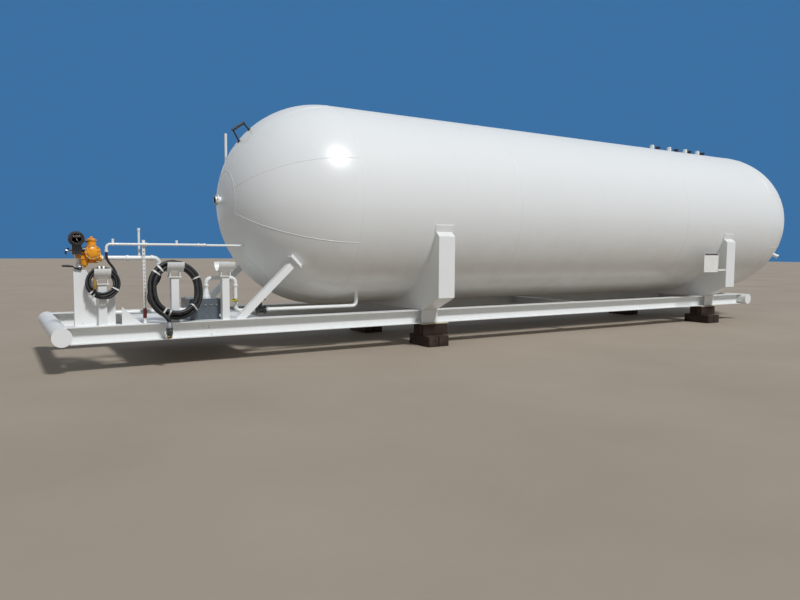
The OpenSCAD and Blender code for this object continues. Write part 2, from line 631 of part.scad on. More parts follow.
vapor_r = 174;
vapor_tilt = 14;
vapor_top = [-1122, 1333];
module vapor_hose_coil() color(black) at_tank() coil(cradle_x[0], vapor_top, vapor_r, vapor_tilt, 2, 3, vapor_d);
vapor_lead = [[-3500, vapor_y, 1560], [-3500, vapor_y, 1510], [-3482, -1105, 1445], [-3435, -1110, 1375],
    [-3405, -1116, 1320], [-3388, -1122, 1268]];
module vapor_hose_lead() color(black) at_tank() hose(vapor_lead, vapor_d, 8);
vapor_tail = [[-3462, -1223, 991], [-3506, -1236, 975], [-3553, -1253, 975], [-3597, -1258, 991],
    [-3633, -1261, 1021], [-3657, -1262, 1055], [-3664, -1262, 1080], [-3664, -1262, 1110]];
module vapor_hose_tail() color(black) at_tank() hose(vapor_tail, vapor_d, 8);
module vapor_hose_valve() color([0.8, 0.7, 0.45]) at_tank() translate([-3664, -1262, 0]) {
    rod_z(0, 0, 1110 + gap, 1130, 40);
    rod_z(0, 0, 1130, 1190, 48);
    rod_z(0, 0, 1190, 1225, 36);
}

shell();
front_head();
rear_head();
head_gauge();
head_rail();
head_pipe();
rear_coupling();
relief_stacks();
relief_caps();
near_beam();
far_beam();
front_bumper();
rear_bumper();
cross_members();
deck_plate();
skid_gussets();
near_brace();
far_brace();
front_saddle();
rear_saddle();
front_timbers();
rear_timbers();
meter_panel();
vapor_hanger();
liquid_hanger();
spare_hanger();
perforated_post();
riser_pipe();
inlet_valve();
valve_lever();
meter_body();
meter_register();
loading_pipe();
vent_pipe();
vapor_line();
pump_body();
pump_reducer();
suction_pipe();
line_valve();
sign_plate();
liquid_hose_lead();
liquid_hose_coil();
liquid_hose_tail();
liquid_hose_valve();
hose_sleeve();
vapor_hose_lead();
vapor_hose_coil();
vapor_hose_tail();
vapor_hose_valve();
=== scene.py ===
"""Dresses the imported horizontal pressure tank: paint, timber, hoses, weld seams, bolts and fittings."""

import json
import math

import bmesh
import bpy
from mathutils import Matrix, Vector, noise


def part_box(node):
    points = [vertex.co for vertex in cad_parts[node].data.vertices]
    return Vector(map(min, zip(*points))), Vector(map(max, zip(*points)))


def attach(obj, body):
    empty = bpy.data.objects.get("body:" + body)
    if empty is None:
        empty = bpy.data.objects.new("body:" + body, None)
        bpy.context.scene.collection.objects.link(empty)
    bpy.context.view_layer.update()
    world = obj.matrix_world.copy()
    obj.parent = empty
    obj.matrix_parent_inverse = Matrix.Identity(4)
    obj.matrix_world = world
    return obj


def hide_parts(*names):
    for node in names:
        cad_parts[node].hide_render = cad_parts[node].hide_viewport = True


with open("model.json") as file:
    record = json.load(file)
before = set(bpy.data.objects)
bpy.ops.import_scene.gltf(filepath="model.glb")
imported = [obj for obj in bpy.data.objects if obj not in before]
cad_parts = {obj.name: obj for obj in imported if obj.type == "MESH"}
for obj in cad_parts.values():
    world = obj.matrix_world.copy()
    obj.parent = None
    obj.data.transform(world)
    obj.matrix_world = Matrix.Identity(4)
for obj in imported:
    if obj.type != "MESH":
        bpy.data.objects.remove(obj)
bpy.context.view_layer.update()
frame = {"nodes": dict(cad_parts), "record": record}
nodes = frame["nodes"]

# Places that the frame gives, in metres. FRONT is where the front head meets the shell.
shell_low, shell_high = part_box("shell")
FRONT = shell_low.x
SHELL = shell_high.x - shell_low.x
RADIUS = (shell_high.y - shell_low.y) / 2
AXIS = (shell_high.z + shell_low.z) / 2
BEAM_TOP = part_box("near_beam")[1].z

AHEAD = Vector((-1, 0, 0))
ALONG = Vector((1, 0, 0))
NEAR = Vector((0, -1, 0))
BACK = Vector((0, 1, 0))
DOWN = Vector((0, 0, -1))
UP = Vector((0, 0, 1))


def at(x, y, z):
    """A place given by its distance behind the front of the shell."""
    return Vector((FRONT + x, y, z))


def middle(node):
    low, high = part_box(node)
    return (low + high) / 2


# Camera, at eye height off the front corner of the skid, as fitted to the photograph
def make_camera():
    place = at(-4.767, -10.432, 1.593)
    right = Vector((0.85113, -0.52492, 0.00561))
    up = Vector((0.03384, 0.06554, 0.99728))
    data = bpy.data.cameras.new("camera")
    data.sensor_width = 36
    data.lens = 29.7
    data.clip_end = 400
    camera = bpy.data.objects.new("camera", data)
    turn = Matrix((right, up, right.cross(up))).transposed().to_4x4()
    camera.matrix_world = Matrix.Translation(place) @ turn
    bpy.context.scene.collection.objects.link(camera)
    bpy.context.scene.camera = camera


make_camera()


# Node trees, for materials and for shapes alike
class Value:
    """A number, colour or vector somewhere in a node tree, which can be used in sums."""

    def __init__(self, graph, socket):
        self.graph = graph
        self.socket = socket

    def sum(self, operation, first, second):
        return self.graph.node("ShaderNodeMath", {"operation": operation}, (first, second))

    def __add__(self, other):
        return self.sum("ADD", self, other)

    def __sub__(self, other):
        return self.sum("SUBTRACT", self, other)

    def __rsub__(self, other):
        return self.sum("SUBTRACT", other, self)

    def __mul__(self, other):
        return self.sum("MULTIPLY", self, other)

    def __truediv__(self, other):
        return self.sum("DIVIDE", self, other)

    def __rtruediv__(self, other):
        return self.sum("DIVIDE", other, self)

    def larger(self, other):
        return self.sum("MAXIMUM", self, other)

    def sine(self):
        return self.sum("SINE", self, None)

    __radd__ = __add__
    __rmul__ = __mul__


class Graph:
    """A node tree with one way to add a node."""

    def __init__(self, tree):
        self.tree = tree

    def node(self, kind, settings=None, inputs=(), output=0):
        """Adds a node: its settings first, then the values or links of its sockets."""
        made = self.tree.nodes.new(kind)
        for name, value in (settings or {}).items():
            setattr(made, name, value)
        pairs = inputs.items() if isinstance(inputs, dict) else enumerate(inputs)
        for name, value in pairs:
            self.join(value, made.inputs[name])
        return Value(self, made.outputs[output])

    def join(self, value, socket):
        if isinstance(value, Value):
            self.tree.links.new(value.socket, socket)
        elif value is not None:
            socket.default_value = value


def shade(red, green, blue):
    """A colour as a screen shows it, from 0 to 1, as the linear colour that a shader takes."""
    return tuple(channel**2.2 for channel in (red, green, blue)) + (1.0,)


def darker(colour, share):
    return tuple(channel * share for channel in colour[:3]) + (1.0,)


class Paint(Graph):
    """One material. What varies over the surface feeds colour, roughness, metallic and bump."""

    def __init__(self, name, colour, roughness, metallic=0.0, coat=0.0):
        self.material = bpy.data.materials.new(name)
        self.material.use_nodes = True
        self.material.diffuse_color = colour
        super().__init__(self.material.node_tree)
        self.shader = self.tree.nodes["Principled BSDF"]
        self.set("Base Color", colour)
        self.set("Roughness", roughness)
        self.set("Metallic", metallic)
        self.set("Coat Weight", coat)
        self.set("Coat Roughness", 0.12)
        self.place = self.node("ShaderNodeTexCoord", output="Object")

    def set(self, name, value):
        self.join(value, self.shader.inputs[name])

    def stretched(self, x=1.0, y=1.0, z=1.0):
        return self.node("ShaderNodeMapping", None, {"Vector": self.place, "Scale": (x, y, z)})

    def noise(self, scale, place=None, detail=3.0, rough=0.55, bend=0.0):
        sockets = {"Vector": place or self.place, "Scale": scale, "Detail": detail}
        sockets.update({"Roughness": rough, "Distortion": bend})
        return self.node("ShaderNodeTexNoise", None, sockets)

    def between(self, value, low, high):
        """0 at low and 1 at high, with a smooth step from one to the other."""
        return self.node("ShaderNodeMapRange", {"interpolation_type": "SMOOTHSTEP"}, (value, low, high))

    def mix(self, mask, first, second):
        settings = {"data_type": "RGBA", "blend_type": "MIX"}
        return self.node("ShaderNodeMix", settings, {0: mask, 6: first, 7: second}, output=2)

    def axis(self, name, place=None):
        return self.node("ShaderNodeSeparateXYZ", None, (place or self.place,), output=name)

    def facing_up(self):
        normal = self.node("ShaderNodeNewGeometry", output="Normal")
        return self.axis("Z", normal)

    def bump(self, height, distance, strength=1.0):
        sockets = {"Height": height, "Distance": distance, "Strength": strength}
        self.set("Normal", self.node("ShaderNodeBump", None, sockets))


WHITE = shade(0.93, 0.94, 0.935)
RUST = shade(0.42, 0.24, 0.15)
DUST = shade(0.70, 0.65, 0.58)
GRIME = shade(0.42, 0.40, 0.37)


def vessel_paint():
    """Gloss white over rolled plate: a slight waver in the plate, thin streaks and dust low down."""
    paint = Paint("vessel_paint", WHITE, 0.24, coat=0.35)
    cloudy = paint.noise(0.7, detail=2.0)
    streaks = paint.noise(9.0, paint.stretched(1.0, 0.6, 0.09), detail=4.0, rough=0.7)
    low_down = paint.between(paint.axis("Z"), AXIS + 0.2, AXIS - 1.6)
    colour = paint.mix(cloudy * 0.5, WHITE, shade(0.90, 0.915, 0.92))
    colour = paint.mix(paint.between(streaks, 0.55, 0.85) * 0.05, colour, GRIME)
    colour = paint.mix(low_down * paint.between(paint.noise(3.2), 0.35, 0.75) * 0.12, colour, DUST)
    paint.set("Base Color", colour)
    paint.set("Roughness", 0.28 + 0.07 * paint.noise(2.5) + 0.04 * low_down)
    paint.set("Coat Roughness", 0.22)
    peel = paint.noise(85.0, detail=2.0)
    waver = paint.noise(1.1, detail=1.0)
    paint.bump(peel * 0.015 + waver, 0.006, 0.4)
    return paint.material


def skid_paint():
    """The same white on rolled sections and plates: dust on top, a few rust chips, and runs low down."""
    paint = Paint("skid_paint", WHITE, 0.34, coat=0.2)
    chips = paint.noise(26.0, detail=6.0, rough=0.75)
    where = paint.noise(2.1, detail=2.0)
    low_down = paint.between(paint.axis("Z"), 0.75, 0.30)
    chipped = paint.between(chips * 0.7 + where * 0.42 + low_down * 0.03, 0.735, 0.765)
    runs = paint.noise(34.0, paint.stretched(1.0, 1.0, 0.07), detail=3.0)
    colour = paint.mix(paint.noise(1.6) * 0.45, WHITE, shade(0.885, 0.89, 0.885))
    colour = paint.mix(paint.between(runs, 0.6, 0.85) * low_down * 0.16, colour, shade(0.60, 0.47, 0.36))
    dusty = paint.facing_up().larger(0.0) * paint.between(paint.noise(7.0), 0.35, 0.8)
    colour = paint.mix(dusty * 0.28, colour, DUST)
    colour = paint.mix(chipped, colour, RUST)
    paint.set("Base Color", colour)
    paint.set("Roughness", 0.3 + 0.16 * paint.noise(6.0) + 0.35 * chipped)
    paint.bump(paint.noise(140.0, detail=2.0) * 0.15 - chipped * 0.6, 0.0012, 0.6)
    return paint.material


def black_paint():
    """Black paint, rubbed at the edges, with dust on what faces up."""
    black = shade(0.13, 0.13, 0.14)
    paint = Paint("black_paint", black, 0.4)
    dusty = paint.facing_up().larger(0.0) * paint.between(paint.noise(12.0), 0.3, 0.8)
    rubbed = paint.between(paint.noise(38.0, detail=5.0, rough=0.7), 0.66, 0.72)
    colour = paint.mix(dusty * 0.35, black, DUST)
    paint.set("Base Color", paint.mix(rubbed * 0.6, colour, shade(0.36, 0.35, 0.34)))
    paint.set("Roughness", 0.34 + 0.3 * paint.noise(18.0))
    paint.bump(paint.noise(220.0, detail=2.0), 0.0006, 0.5)
    return paint.material


def timber(name, along):
    """Old dark timber: long grain, drying cracks and paler worn patches. along is the grain's axis."""
    stretch = {"x": (0.05, 1.0, 1.0), "y": (1.0, 0.05, 1.0)}[along]
    paint = Paint(name, shade(0.30, 0.22, 0.16), 0.85)
    grain = paint.noise(42.0, paint.stretched(*stretch), detail=6.0, rough=0.65, bend=0.6)
    figure = paint.noise(7.0, paint.stretched(*stretch), detail=3.0, bend=1.2)
    cracks = paint.between(paint.noise(16.0, paint.stretched(*stretch), detail=2.0), 0.64, 0.68)
    worn = paint.between(paint.noise(5.0, detail=4.0), 0.52, 0.7)
    colour = paint.mix(figure, shade(0.17, 0.12, 0.095), shade(0.27, 0.20, 0.155))
    colour = paint.mix(grain * 0.55, colour, shade(0.11, 0.085, 0.07))
    colour = paint.mix(worn * 0.3, colour, shade(0.40, 0.33, 0.27))
    paint.set("Base Color", paint.mix(cracks, colour, shade(0.06, 0.045, 0.035)))
    paint.set("Roughness", 0.75 + 0.2 * grain)
    paint.bump(grain * 0.5 - cracks * 1.4, 0.006, 0.8)
    return paint.material


def enamel(name, colour, dark, roughness=0.34, bump=0.0008):
    """Brushed-on enamel over a casting, with grime in its hollows and a few chips."""
    paint = Paint(name, colour, roughness, coat=0.25)
    grime = paint.between(paint.noise(24.0, detail=5.0), 0.48, 0.75)
    chips = paint.between(paint.noise(60.0, detail=6.0, rough=0.75), 0.68, 0.7)
    mixed = paint.mix(paint.noise(5.0) * 0.5, colour, darker(colour, 0.8))
    paint.set("Base Color", paint.mix(chips, paint.mix(grime * 0.45, mixed, dark), shade(0.28, 0.25, 0.23)))
    paint.set("Roughness", roughness + 0.25 * grime + 0.2 * chips)
    paint.bump(paint.noise(130.0, detail=3.0) - chips, bump, 0.7)
    return paint.material


def bare_metal(name, colour, stain, roughness):
    """Metal with a soft grain, finger-dulled patches and some stain."""
    paint = Paint(name, colour, roughness, metallic=0.92)
    dulled = paint.between(paint.noise(28.0, detail=5.0), 0.42, 0.7)
    stained = paint.between(paint.noise(55.0, detail=6.0, rough=0.7), 0.6, 0.72)
    mixed = paint.mix(dulled * 0.5, colour, darker(colour, 0.62))
    paint.set("Base Color", paint.mix(stained * 0.7, mixed, stain))
    paint.set("Metallic", 0.92 - 0.6 * stained)
    paint.set("Roughness", roughness + 0.22 * dulled + 0.2 * stained)
    paint.bump(paint.noise(260.0, detail=2.0) + stained * 0.5, 0.0004, 0.6)
    return paint.material


def hose_rubber():
    """Black rubber with a cloth imprint, scuffed to brown-grey where it has been dragged."""
    paint = Paint("hose_rubber", shade(0.12, 0.12, 0.125), 0.55)
    scuffed = paint.between(paint.noise(14.0, detail=6.0, rough=0.7), 0.52, 0.72)
    imprint = paint.noise(420.0, detail=1.0)
    colour = paint.mix(paint.noise(4.0) * 0.6, shade(0.075, 0.075, 0.08), shade(0.125, 0.12, 0.118))
    paint.set("Base Color", paint.mix(scuffed * 0.26, colour, shade(0.36, 0.34, 0.31)))
    paint.set("Roughness", 0.42 + 0.3 * scuffed + 0.1 * imprint)
    paint.bump(imprint + scuffed * 0.4, 0.0009, 0.7)
    return paint.material


def tape():
    """Silvery cloth tape, wound in overlapping turns and creased."""
    paint = Paint("tape", shade(0.80, 0.80, 0.79), 0.38, metallic=0.15)
    creases = paint.noise(70.0, detail=4.0, bend=1.5)
    soiled = paint.between(paint.noise(26.0, detail=4.0), 0.5, 0.75)
    paint.set("Base Color", paint.mix(soiled * 0.5, shade(0.82, 0.82, 0.81), shade(0.48, 0.45, 0.42)))
    paint.set("Roughness", 0.3 + 0.25 * creases)
    paint.bump(creases, 0.002, 0.8)
    return paint.material


def sign_paint(header_z):
    """A bare enamelled sheet with a dark band along its top."""
    paint = Paint("sign_paint", shade(0.92, 0.92, 0.90), 0.32, coat=0.2)
    faded = paint.between(paint.noise(5.0, detail=4.0), 0.4, 0.75)
    colour = paint.mix(faded * 0.25, shade(0.93, 0.93, 0.91), shade(0.82, 0.78, 0.70))
    band = paint.between(paint.axis("Z"), header_z - 0.001, header_z + 0.001)
    band_colour = paint.mix(faded * 0.5, shade(0.30, 0.24, 0.23), shade(0.45, 0.38, 0.35))
    paint.set("Base Color", paint.mix(band, colour, band_colour))
    paint.set("Roughness", 0.28 + 0.25 * faded)
    paint.bump(paint.noise(60.0), 0.0008, 0.5)
    return paint.material


def dial_glass():
    """A smeared glass over a bare grey dial."""
    paint = Paint("dial_glass", shade(0.30, 0.33, 0.34), 0.08, coat=0.8)
    smears = paint.noise(18.0, detail=4.0)
    paint.set("Base Color", paint.mix(smears * 0.4, shade(0.22, 0.25, 0.26), shade(0.42, 0.44, 0.44)))
    paint.set("Roughness", 0.05 + 0.14 * smears)
    return paint.material


def floor_paint():
    """A plain sandy floor with broad, faint patches."""
    paint = Paint("floor_paint", shade(0.64, 0.59, 0.53), 0.8)
    cloudy = paint.noise(0.35, detail=5.0)
    colour = paint.mix(cloudy, shade(0.58, 0.53, 0.47), shade(0.68, 0.63, 0.57))
    paint.set("Base Color", colour)
    paint.bump(paint.noise(9.0, detail=5.0), 0.004, 0.4)
    return paint.material


VESSEL = vessel_paint()
SKID = skid_paint()
BLACK = black_paint()
TIMBER_X = timber("timber_lengthwise", "x")
TIMBER_Y = timber("timber_crosswise", "y")
ORANGE = enamel("meter_enamel", shade(1.0, 0.67, 0.13), shade(0.55, 0.36, 0.12))
SLATE = enamel("pump_enamel", shade(0.36, 0.40, 0.43), shade(0.20, 0.21, 0.22), roughness=0.42)
IRON = enamel("valve_enamel", shade(0.24, 0.26, 0.27), shade(0.14, 0.14, 0.14), roughness=0.45, bump=0.0016)
STEEL = bare_metal("valve_steel", shade(0.66, 0.67, 0.68), shade(0.38, 0.31, 0.26), roughness=0.34)
BRASS = bare_metal("valve_brass", shade(0.80, 0.66, 0.38), shade(0.34, 0.27, 0.17), roughness=0.32)
PLATED = bare_metal("plated_bolts", shade(0.72, 0.72, 0.70), shade(0.45, 0.35, 0.28), roughness=0.36)
REGISTER = enamel("register_enamel", shade(0.17, 0.17, 0.18), shade(0.30, 0.28, 0.26), roughness=0.36)
GREEN_GRIP = enamel("grip_vinyl", shade(0.72, 0.74, 0.20), shade(0.40, 0.40, 0.18), roughness=0.4)
# Pale cream of the thin boards on the upper timbers: partly painted light, standing in for the sunlit tops
# of the timbers
CREAM = enamel("bearing_board", shade(0.78, 0.73, 0.62), shade(0.45, 0.40, 0.33), roughness=0.7, bump=0.002)
RED = enamel("red_enamel", shade(0.42, 0.10, 0.09), shade(0.20, 0.08, 0.07), roughness=0.4)
RUBBER = hose_rubber()
TAPE = tape()
GLASS = dial_glass()
sign_low, sign_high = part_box("sign_plate")
SIGN_BAND = 0.045
SIGN = sign_paint(sign_high.z - SIGN_BAND)


# What the scene adds is made of these. A turned outline is a list of (height, radius) points.
def bevelled(long, radius, rise, cut):
    """The outline of a bar whose two rims are taken off, inwards by cut over a height of rise."""
    return [(0, radius - cut), (rise, radius), (long - rise, radius), (long, radius - cut)]


def cube(low, high, edge, roundness):
    """A box between two corners, its edges bevelled in two steps."""
    part = bmesh.new()
    bmesh.ops.create_cube(part, size=1.0)
    for vert in part.verts:
        vert.co = Vector(low[k] if vert.co[k] < 0 else high[k] for k in range(3))
    edges = part.edges[:]
    bmesh.ops.bevel(part, geom=edges, offset=edge, segments=2, profile=roundness, affect="EDGES")
    return part


class Shape:
    """Collects the solids of one piece, in the frame's own places."""

    def __init__(self):
        self.mesh = bmesh.new()

    def turned(self, foot, aim, outline, steps):
        """Turns an outline about the line from foot along aim; with six steps it is a hexagon."""
        foot = Vector(foot)
        turn = Vector(aim).normalized().to_track_quat("Z", "Y")
        rings = []
        for height, radius in outline:
            ring = []
            for step in range(steps):
                angle = 2 * math.pi * step / steps
                spot = Vector((radius * math.cos(angle), radius * math.sin(angle), height))
                ring.append(self.mesh.verts.new(foot + turn @ spot))
            rings.append(ring)
        self.skin(rings)
        return self

    def skin(self, rings, closed=False):
        """Joins rings of points into one skin, with flat ends unless it closes on itself."""
        steps = len(rings[0])
        pairs = list(zip(rings, rings[1:]))
        if closed:
            pairs.append((rings[-1], rings[0]))
        for first, second in pairs:
            for step in range(steps):
                after = (step + 1) % steps
                self.mesh.faces.new((first[step], first[after], second[after], second[step]))
        if not closed:
            self.mesh.faces.new(list(reversed(rings[0])))
            self.mesh.faces.new(rings[-1])

    def block(self, low, high, edge):
        """A box with its edges taken off."""
        self.take(cube(low, high, edge, 0.5))

    def slab(self, corners, depth):
        """A flat outline of corners, made solid along depth."""
        faces = (corners, [corner + depth for corner in corners])
        self.skin([[self.mesh.verts.new(corner) for corner in face] for face in faces])

    def bar(self, centre, out, side, near, far, depth):
        """A flat bar that points out from centre, from near to far, and is side wide to each hand."""
        corners = ((near, -1), (near, 1), (far, 1), (far, -1))
        self.slab([centre + out * reach + side * hand for reach, hand in corners], depth)

    def pointer(self, centre, out, side, far, depth):
        """The tapered hand of a dial."""
        tail = centre - out * 0.012
        half = side * 0.003
        self.slab([tail - half, tail + half, centre + out * far], depth)

    def hoop(self, points, radius, steps):
        """A round bar along a closed line of points."""
        angles = [2 * math.pi * step / steps for step in range(steps)]
        rings = []
        side = None
        for before, point, after in zip(points[-1:] + points, points, points[1:] + points[:1]):
            heading = (after - before).normalized()
            side = side or heading.orthogonal()
            side = (side - heading * heading.dot(side)).normalized()
            across = heading.cross(side)
            spots = [point + radius * (math.cos(a) * side + math.sin(a) * across) for a in angles]
            rings.append([self.mesh.verts.new(spot) for spot in spots])
        self.skin(rings, closed=True)
        return self

    def take(self, part):
        part_mesh = bpy.data.meshes.new("part")
        part.to_mesh(part_mesh)
        part.free()
        self.mesh.from_mesh(part_mesh)
        bpy.data.meshes.remove(part_mesh)

    def finish(self, name, paint, slot, body="tank", sharp=35):
        bmesh.ops.recalc_face_normals(self.mesh, faces=self.mesh.faces[:])
        mesh = bpy.data.meshes.new(name)
        self.mesh.to_mesh(mesh)
        self.mesh.free()
        mesh.shade_smooth()
        mesh.set_sharp_from_angle(angle=math.radians(sharp))
        mesh.materials.append(paint)
        return place_piece(name, mesh, body)


def place_piece(name, data, body="tank"):
    piece = bpy.data.objects.new(name, data)
    bpy.context.scene.collection.objects.link(piece)
    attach(piece, body)
    return piece


# Hoses come first. Their points are those of the CAD source: a lead to each coil, and a tail from it.
LIQUID_D = 0.060
VAPOR_D = 0.032
VAPOR_Y = -1.10245
LIQUID_LEAD = [(-2.829, -1.020, 1.300), (-2.829, -1.020, 1.250), (-2.845, -1.024, 1.195),
    (-2.882, -1.033, 1.140), (-2.925, -1.048, 1.085), (-2.960, -1.072, 1.030), (-2.980, -1.105, 0.975),
    (-2.984, -1.142, 0.925)]
LIQUID_TAIL = [(-2.822, -1.284, 0.718), (-2.785, -1.298, 0.672), (-2.769, -1.305, 0.637),
    (-2.769, -1.305, 0.602)]
VAPOR_LEAD = [(-3.500, VAPOR_Y, 1.560), (-3.500, VAPOR_Y, 1.510), (-3.482, -1.105, 1.445),
    (-3.435, -1.110, 1.375), (-3.405, -1.116, 1.320), (-3.388, -1.122, 1.268)]
VAPOR_TAIL = [(-3.506, -1.236, 0.975), (-3.553, -1.253, 0.975), (-3.597, -1.258, 0.991),
    (-3.633, -1.261, 1.021), (-3.657, -1.262, 1.055), (-3.664, -1.262, 1.080), (-3.664, -1.262, 1.110)]


def ramp(value, start, end):
    """0 before start, 1 after end, and evenly between."""
    return min(max((value - start) / (end - start), 0.0), 1.0)


class Coil:
    """A hanging ring of hose: its highest point, its lean in degrees, and how far its lower half sags."""

    def __init__(self, x, top_y, top_z, radius, tilt, diameter, sag):
        self.lean = math.radians(tilt)
        self.centre = at(x, top_y - radius * math.sin(self.lean), top_z - radius * math.cos(self.lean))
        self.radius = radius
        self.diameter = diameter
        self.sag = sag

    def point(self, angle, out, back):
        """A place in the coil: out from the middle of its winding, and behind its middle plane."""
        turn = math.radians(angle)
        up = Vector((0, math.sin(self.lean), math.cos(self.lean)))
        rear = Vector((0, math.cos(self.lean), -math.sin(self.lean)))
        radius = self.radius + out
        sagging = 1 - ramp(math.sin(turn), -0.2, 0.2)
        high = radius * math.sin(turn) - self.sag * sagging
        return self.centre + Vector((radius * math.cos(turn), 0, 0)) + high * up + back * rear

    def tie(self, shape, angle, slots, width):
        """A band round the hoses that lie in the given slots, which are counted in diameters."""
        inner = self.diameter / 2 + 0.001
        outer = self.diameter / 2 + 0.003
        half = math.degrees(width / 2 / self.radius)
        steps = 28
        bands = []
        for side, reach in ((-half, outer), (half, outer), (half, inner), (-half, inner)):
            band = []
            for step in range(steps):
                turn = 2 * math.pi * step / steps
                out = math.cos(turn)
                back = math.sin(turn)
                far = max(slots, key=lambda slot: slot[0] * out + slot[1] * back)
                spot_out = far[0] * self.diameter + reach * out
                spot_back = far[1] * self.diameter + reach * back
                band.append(shape.mesh.verts.new(self.point(angle + side, spot_out, spot_back)))
            bands.append(band)
        shape.skin(bands, closed=True)


LIQUID_COIL = Coil(-2.650, top_y=-1.114, top_z=1.397, radius=0.312, tilt=11, diameter=LIQUID_D, sag=0.076)
VAPOR_COIL = Coil(-3.565, top_y=-1.122, top_z=1.333, radius=0.174, tilt=14, diameter=VAPOR_D, sag=0.0)


def liquid_turns():
    """Three turns: outside and then inside at the back, and inside and then outside in front, in degrees."""
    first = 207
    last = 1299
    steps = 56
    for step in range(steps + 1):
        angle = first + (last - first) * step / steps
        inwards = ramp(angle, 450, 480)
        across = ramp(angle, 790, 830)
        outwards = ramp(angle, 1140, 1170)
        yield LIQUID_COIL.point(angle, LIQUID_D * (0.5 - inwards + outwards), LIQUID_D * (0.5 - across))


def vapor_turns():
    """A flat spiral inwards at the back, a quarter turn across, and a flat spiral outwards in front."""
    first = 30
    inwards = 2.0
    outwards = 2.25
    turns = 4.25
    steps = 68
    for step in range(steps + 1):
        turned = turns * step / steps
        out = 1 - min(turned, inwards) + max(turned - outwards, 0.0)
        across = ramp(turned, inwards, outwards)
        yield VAPOR_COIL.point(first - 360 * turned, VAPOR_D * out, VAPOR_D * (0.5 - across))


def hose(name, points, diameter, nodes_replaced):
    """One open spline through the points, in the frame's own places."""
    curve = bpy.data.curves.new(name, "CURVE")
    curve.dimensions = "3D"
    curve.resolution_u = 8
    curve.bevel_depth = diameter / 2
    curve.bevel_resolution = 5
    curve.use_fill_caps = True
    spline = curve.splines.new("BEZIER")
    spline.bezier_points.add(len(points) - 1)
    for spot, point in zip(spline.bezier_points, points):
        spot.co = point
        spot.handle_left_type = "AUTO"
        spot.handle_right_type = "AUTO"
    curve.materials.append(RUBBER)
    piece = place_piece(name, curve)
    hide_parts(*nodes_replaced)
    return piece


def route(lead, turns, tail):
    return [at(*point) for point in lead] + list(turns) + [at(*point) for point in tail]


def length_of(points):
    """Length along the smooth line: the chords, with the little that their bulge adds."""
    bulge = 1.006
    return sum((b - a).length for a, b in zip(points, points[1:])) * bulge


liquid_route = route(LIQUID_LEAD, liquid_turns(), LIQUID_TAIL)
vapor_route = route(VAPOR_LEAD, vapor_turns(), VAPOR_TAIL)
liquid_hose = hose("liquid_hose", liquid_route, LIQUID_D,
    ["liquid_hose_lead", "liquid_hose_coil", "liquid_hose_tail"])
vapor_hose = hose("vapor_hose", vapor_route, VAPOR_D,
    ["vapor_hose_lead", "vapor_hose_coil", "vapor_hose_tail"])


def coupling(foot, aim, radius, long):
    """A crimped ferrule with ridges, and a hexagon past it. Its radii are shares of the hose's."""
    crest = radius * 1.14
    valley = radius * 1.05
    crimped = long * 0.7
    ridges = 4
    ferrule = [(0, radius * 0.92)]
    for ridge in range(ridges):
        start = crimped * ridge / ridges
        ferrule += [(start + 0.002, crest), (start + long * 0.11, crest), (start + long * 0.13, valley)]
    shoulder = long * 0.72
    ferrule += [(shoulder, radius * 1.12)]
    flat = radius * 1.25
    rim = radius * 1.16
    hexagon = [(0, rim), (0.002, flat), (long * 0.26, flat), (long * 0.28, rim)]
    return Shape().turned(foot, aim, ferrule, 28).turned(foot + aim * shoulder, aim, hexagon, 6)


liquid_end = liquid_route[-1]
vapor_end = vapor_route[-1]
liquid_ferrule = coupling(liquid_end + UP * 0.03, DOWN, radius=0.034, long=0.085)
liquid_ferrule = liquid_ferrule.finish("liquid_hose_coupling", STEEL, "valve_steel")
vapor_ferrule = coupling(vapor_end + DOWN * 0.02, UP, radius=0.020, long=0.055)
vapor_ferrule = vapor_ferrule.finish("vapor_hose_coupling", BRASS, "valve_brass")


def liquid_end_details():
    """The hand lever, bonnet and lugs of the valve on the liquid hose, and its brass union."""
    lug = bevelled(0.013, 0.048, 0.002, 0.005)
    collar = bevelled(0.007, 0.0345, 0.001, 0.003)
    bonnet = [(0, 0.026), (0.003, 0.028), (0.018, 0.026), (0.024, 0.018)]
    nut = [(-0.001, 0.013), (0.004, 0.015), (0.010, 0.015), (0.013, 0.012)]
    hexagon = bevelled(0.024, 0.038, 0.002, 0.003)
    body = Shape()
    for depth in (0.132, 0.070):
        body.turned(liquid_end + DOWN * depth, UP, lug, 8)
    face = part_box("liquid_hose_valve")[0].y
    stem = Vector((liquid_end.x, face, liquid_end.z - 0.097))
    body.turned(stem + BACK * 0.040, NEAR, bonnet, 24)
    body.turned(stem, NEAR, nut, 6)
    body.block(stem + Vector((-0.014, -0.010, -0.062)), stem + Vector((0.014, -0.004, 0.020)), 0.002)
    for depth in (0.184, 0.154):
        body.turned(liquid_end + DOWN * depth, UP, collar, 24)
    body.finish("liquid_valve_fittings", IRON, "dark_iron")
    union = Shape().turned(liquid_end + DOWN * 0.178, UP, hexagon, 6)
    union.finish("liquid_valve_union", BRASS, "valve_brass")


liquid_end_details()


def coil_ties():
    """White ties round both bundles, at angles counted from the rear side of each ring."""
    all_four = [(-0.5, -0.5), (-0.5, 0.5), (0.5, -0.5), (0.5, 0.5)]
    three = [(-0.5, -0.5), (-0.5, 0.5), (0.5, 0.5)]
    liquid = Shape()
    for angle in (128, 142, 236):
        LIQUID_COIL.tie(liquid, angle, all_four, width=0.022)
    for angle in (23, -42, 250):
        LIQUID_COIL.tie(liquid, angle, three, width=0.022)
    outermost = [(out, back) for out in (-1, 1) for back in (-0.5, 0.5)]
    vapor = Shape()
    for angle in (84, 98, 222, 236, 330):
        VAPOR_COIL.tie(vapor, angle, outermost, width=0.018)
    liquid = liquid.finish("liquid_hose_ties", TAPE, "sign_face")
    return liquid, vapor.finish("vapor_hose_ties", TAPE, "sign_face")


